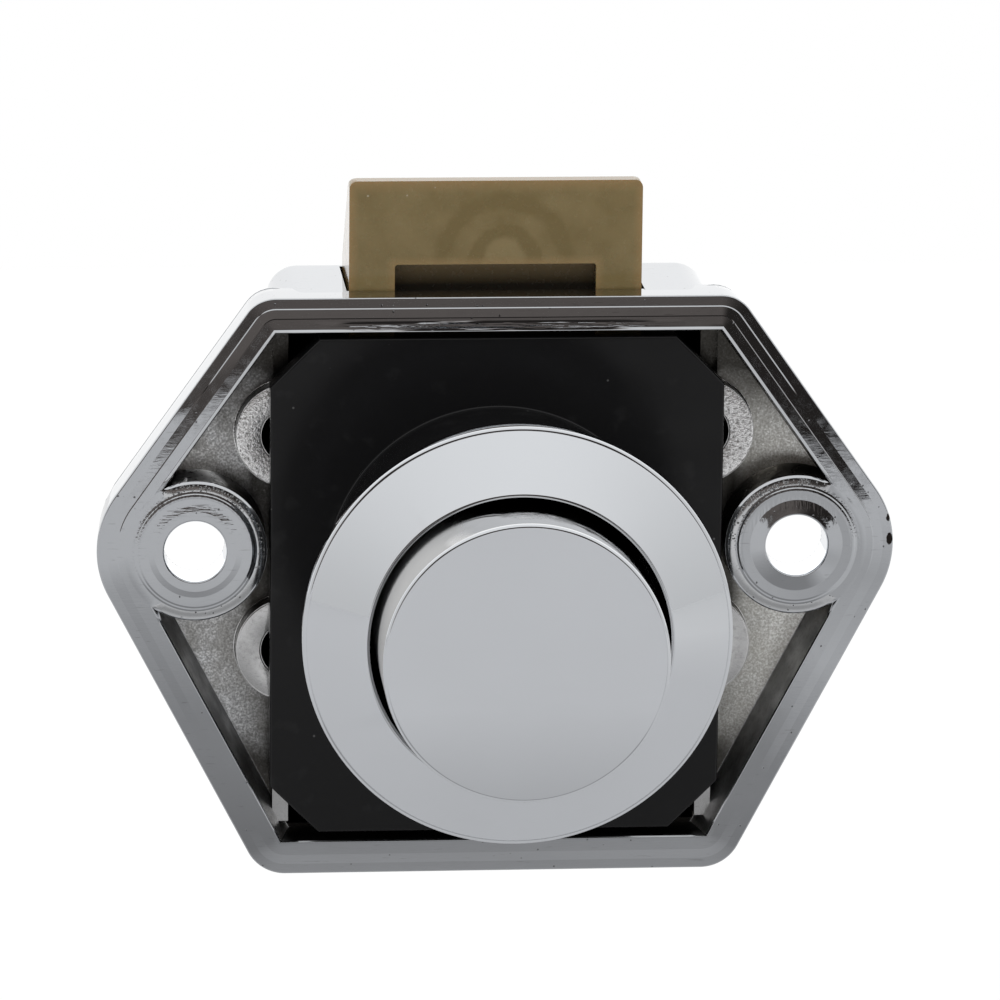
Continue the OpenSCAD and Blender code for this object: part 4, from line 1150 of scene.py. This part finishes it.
def make_table():
    """A pale table under the lock, whose near edge ends in front of it, nearer on the right."""
    shape = Shape()
    corners = [(-TABLE_REACH, TABLE_FRONT), (-25.0, TABLE_FRONT), (75.0, TABLE_FRONT_RIGHT),
               (TABLE_REACH, TABLE_FRONT_RIGHT), (TABLE_REACH, TABLE_BACK), (-TABLE_REACH, TABLE_BACK)]
    shape.face(shape.add_points([(x, y, TABLE_Z) for x, y in corners]))
    n = Coat("pale_table")
    x, y, _ = n.xyz(n.place)
    # Painted shade on the table: a strip in front of the lock and a patch right of it; painted light:
    # lighter to the right.
    painted_shadow_strip = n.times(n.between(y, -0.195, -0.12, -0.085, -0.055), n.ramp(n.absolute(x), 0.06, 0.045))
    painted_shade_patch = n.times(n.between(x, 0.033, 0.05, 0.07, 0.09), n.between(y, -0.32, -0.28, -0.16, -0.12))
    shade = n.most(n.times(painted_shadow_strip, 0.52), n.times(painted_shade_patch, 0.24))
    top = n.mix(n.ramp(x, 0.1, 0.2), (0.86, 0.86, 0.87), gray(1.0))
    n.set(Base_Color=n.mix(shade, top, gray(0.0)), Roughness=0.6, Specular_IOR_Level=0.2)
    path = n.add("ShaderNodeLightPath").outputs
    white = n.add("ShaderNodeEmission")
    behind = n.times(path["Is Glossy Ray"], n.ramp(y, 0.04, 0.1))
    n.put(white.inputs["Strength"], n.minus(1.05, n.times(behind, 0.15)))
    mixed = n.add("ShaderNodeMixShader")
    n.put(mixed.inputs[0], n.most(behind, n.times(path["Is Camera Ray"], 0.9)))
    n.put(mixed.inputs[1], n.shader.outputs[0])
    n.put(mixed.inputs[2], white.outputs[0])
    n.put(n.tree.nodes["Material Output"].inputs["Surface"], mixed.outputs[0])
    shape.build("table", [n.material], weld=False)


def make_lamp(name, place, target, width, height, radiance):
    """A soft box whose face has that brightness."""
    data = bpy.data.lights.new(name, "AREA")
    data.shape = "RECTANGLE"
    data.size, data.size_y = width * MM, height * MM
    data.energy = radiance * math.pi * data.size * data.size_y
    lamp = new_object(name, data)
    lamp.location = Vector(place) * MM
    lamp.rotation_euler = (Vector(place) - Vector(target)).to_track_quat("Z", "Y").to_euler()
    lamp.visible_camera = False
    lamp.visible_glossy = False


# The scene

bpy.context.scene.view_settings.view_transform = "Standard"
make_camera()
make_world()
make_table()
make_lamp("overhead_box", (-60, -420, 620), (0, 0, 0), 700, 420, 2.0)

housing(
    case_chrome("chrome_case_bright"),
    floor_chrome("chrome_cast"),
    cast_chrome("chrome_grainy", 0.24, 0.03, 1.0, 0.9, 0.03, (0.3, 0.12), 0.9),
    cast_chrome("chrome_smooth", 0.25, 0.004, 0.62, 0.56, 0.01, (0.2, 0.1), 0.25),
    pitted_chrome("chrome_pitted"),
    cast_chrome("chrome_wall", 0.3, 0.002, 0.95, 0.55),
    boss_chrome("chrome_boss_painted_light"),
    # A brighter copy of the chrome, painted light, so the fixing holes' walls show white.
    chrome("chrome_hole_painted_bright", 0.95),
    # Near-black copy of the walls' plating: painted shade.
    cast_chrome("chrome_wall_painted_shade", 0.3, 0.002, 0.05, 0.03),
)
sleeve_plate(black_plastic("black_gloss"))
bright = chrome("chrome_bright", 0.62)
trim_ring(bright)
knob_cap(bright, rubbed_chrome("chrome_rubbed"))
bolt(
    nylon("nylon_brown", (0.185, 0.134, 0.05), (0.26, 0.195, 0.088)),
    # Paler brown for the rounded edges: painted edge glow.
    nylon("nylon_edge_painted_glow", (0.26, 0.19, 0.09), (0.34, 0.255, 0.13)),
    # Pale copy for the top face: painted sheen.
    nylon("nylon_top_painted_sheen", (0.55, 0.52, 0.45), (0.66, 0.63, 0.56), 0.12),
    nylon("nylon_sheen", (0.178, 0.127, 0.05), (0.225, 0.168, 0.076), 0.09),
)

wire = steel("spring_wire", (0.55, 0.56, 0.57), 0.28, (1.0, 1.0, 1.0))
zinc = steel("zinc_plate", (0.62, 0.62, 0.60), 0.3, (1.0, 0.2, 1.0))
acetal = moulded("acetal_natural", (0.72, 0.71, 0.66), (0.80, 0.79, 0.75), 0.38)
spring("knob_spring", "puller", wire)
for side in ("left", "right"):
    spring("bolt_spring_" + side, "case", wire)

NODE_MATERIALS = {
    "plate_screws": zinc,
    "slider_guide": acetal,
    "knob_core": moulded("core_black", (0.012, 0.012, 0.013), (0.02, 0.02, 0.021)),
    "core_screw": zinc,
    "plunger": acetal,
    "rubber_buffer": moulded("rubber_black", gray(0.018), gray(0.03), 0.75, 0.004, 0.15),
    "retaining_clip": wire,
    "thrust_washer": zinc,
    "puller": moulded("slider_gray", (0.035, 0.035, 0.04), (0.055, 0.055, 0.06)),
    "pull_pins": zinc,
    "cam_follower": wire,
    "follower_leaf": wire,
}
for node, material in NODE_MATERIALS.items():
    give_materials(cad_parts[node].data, material)
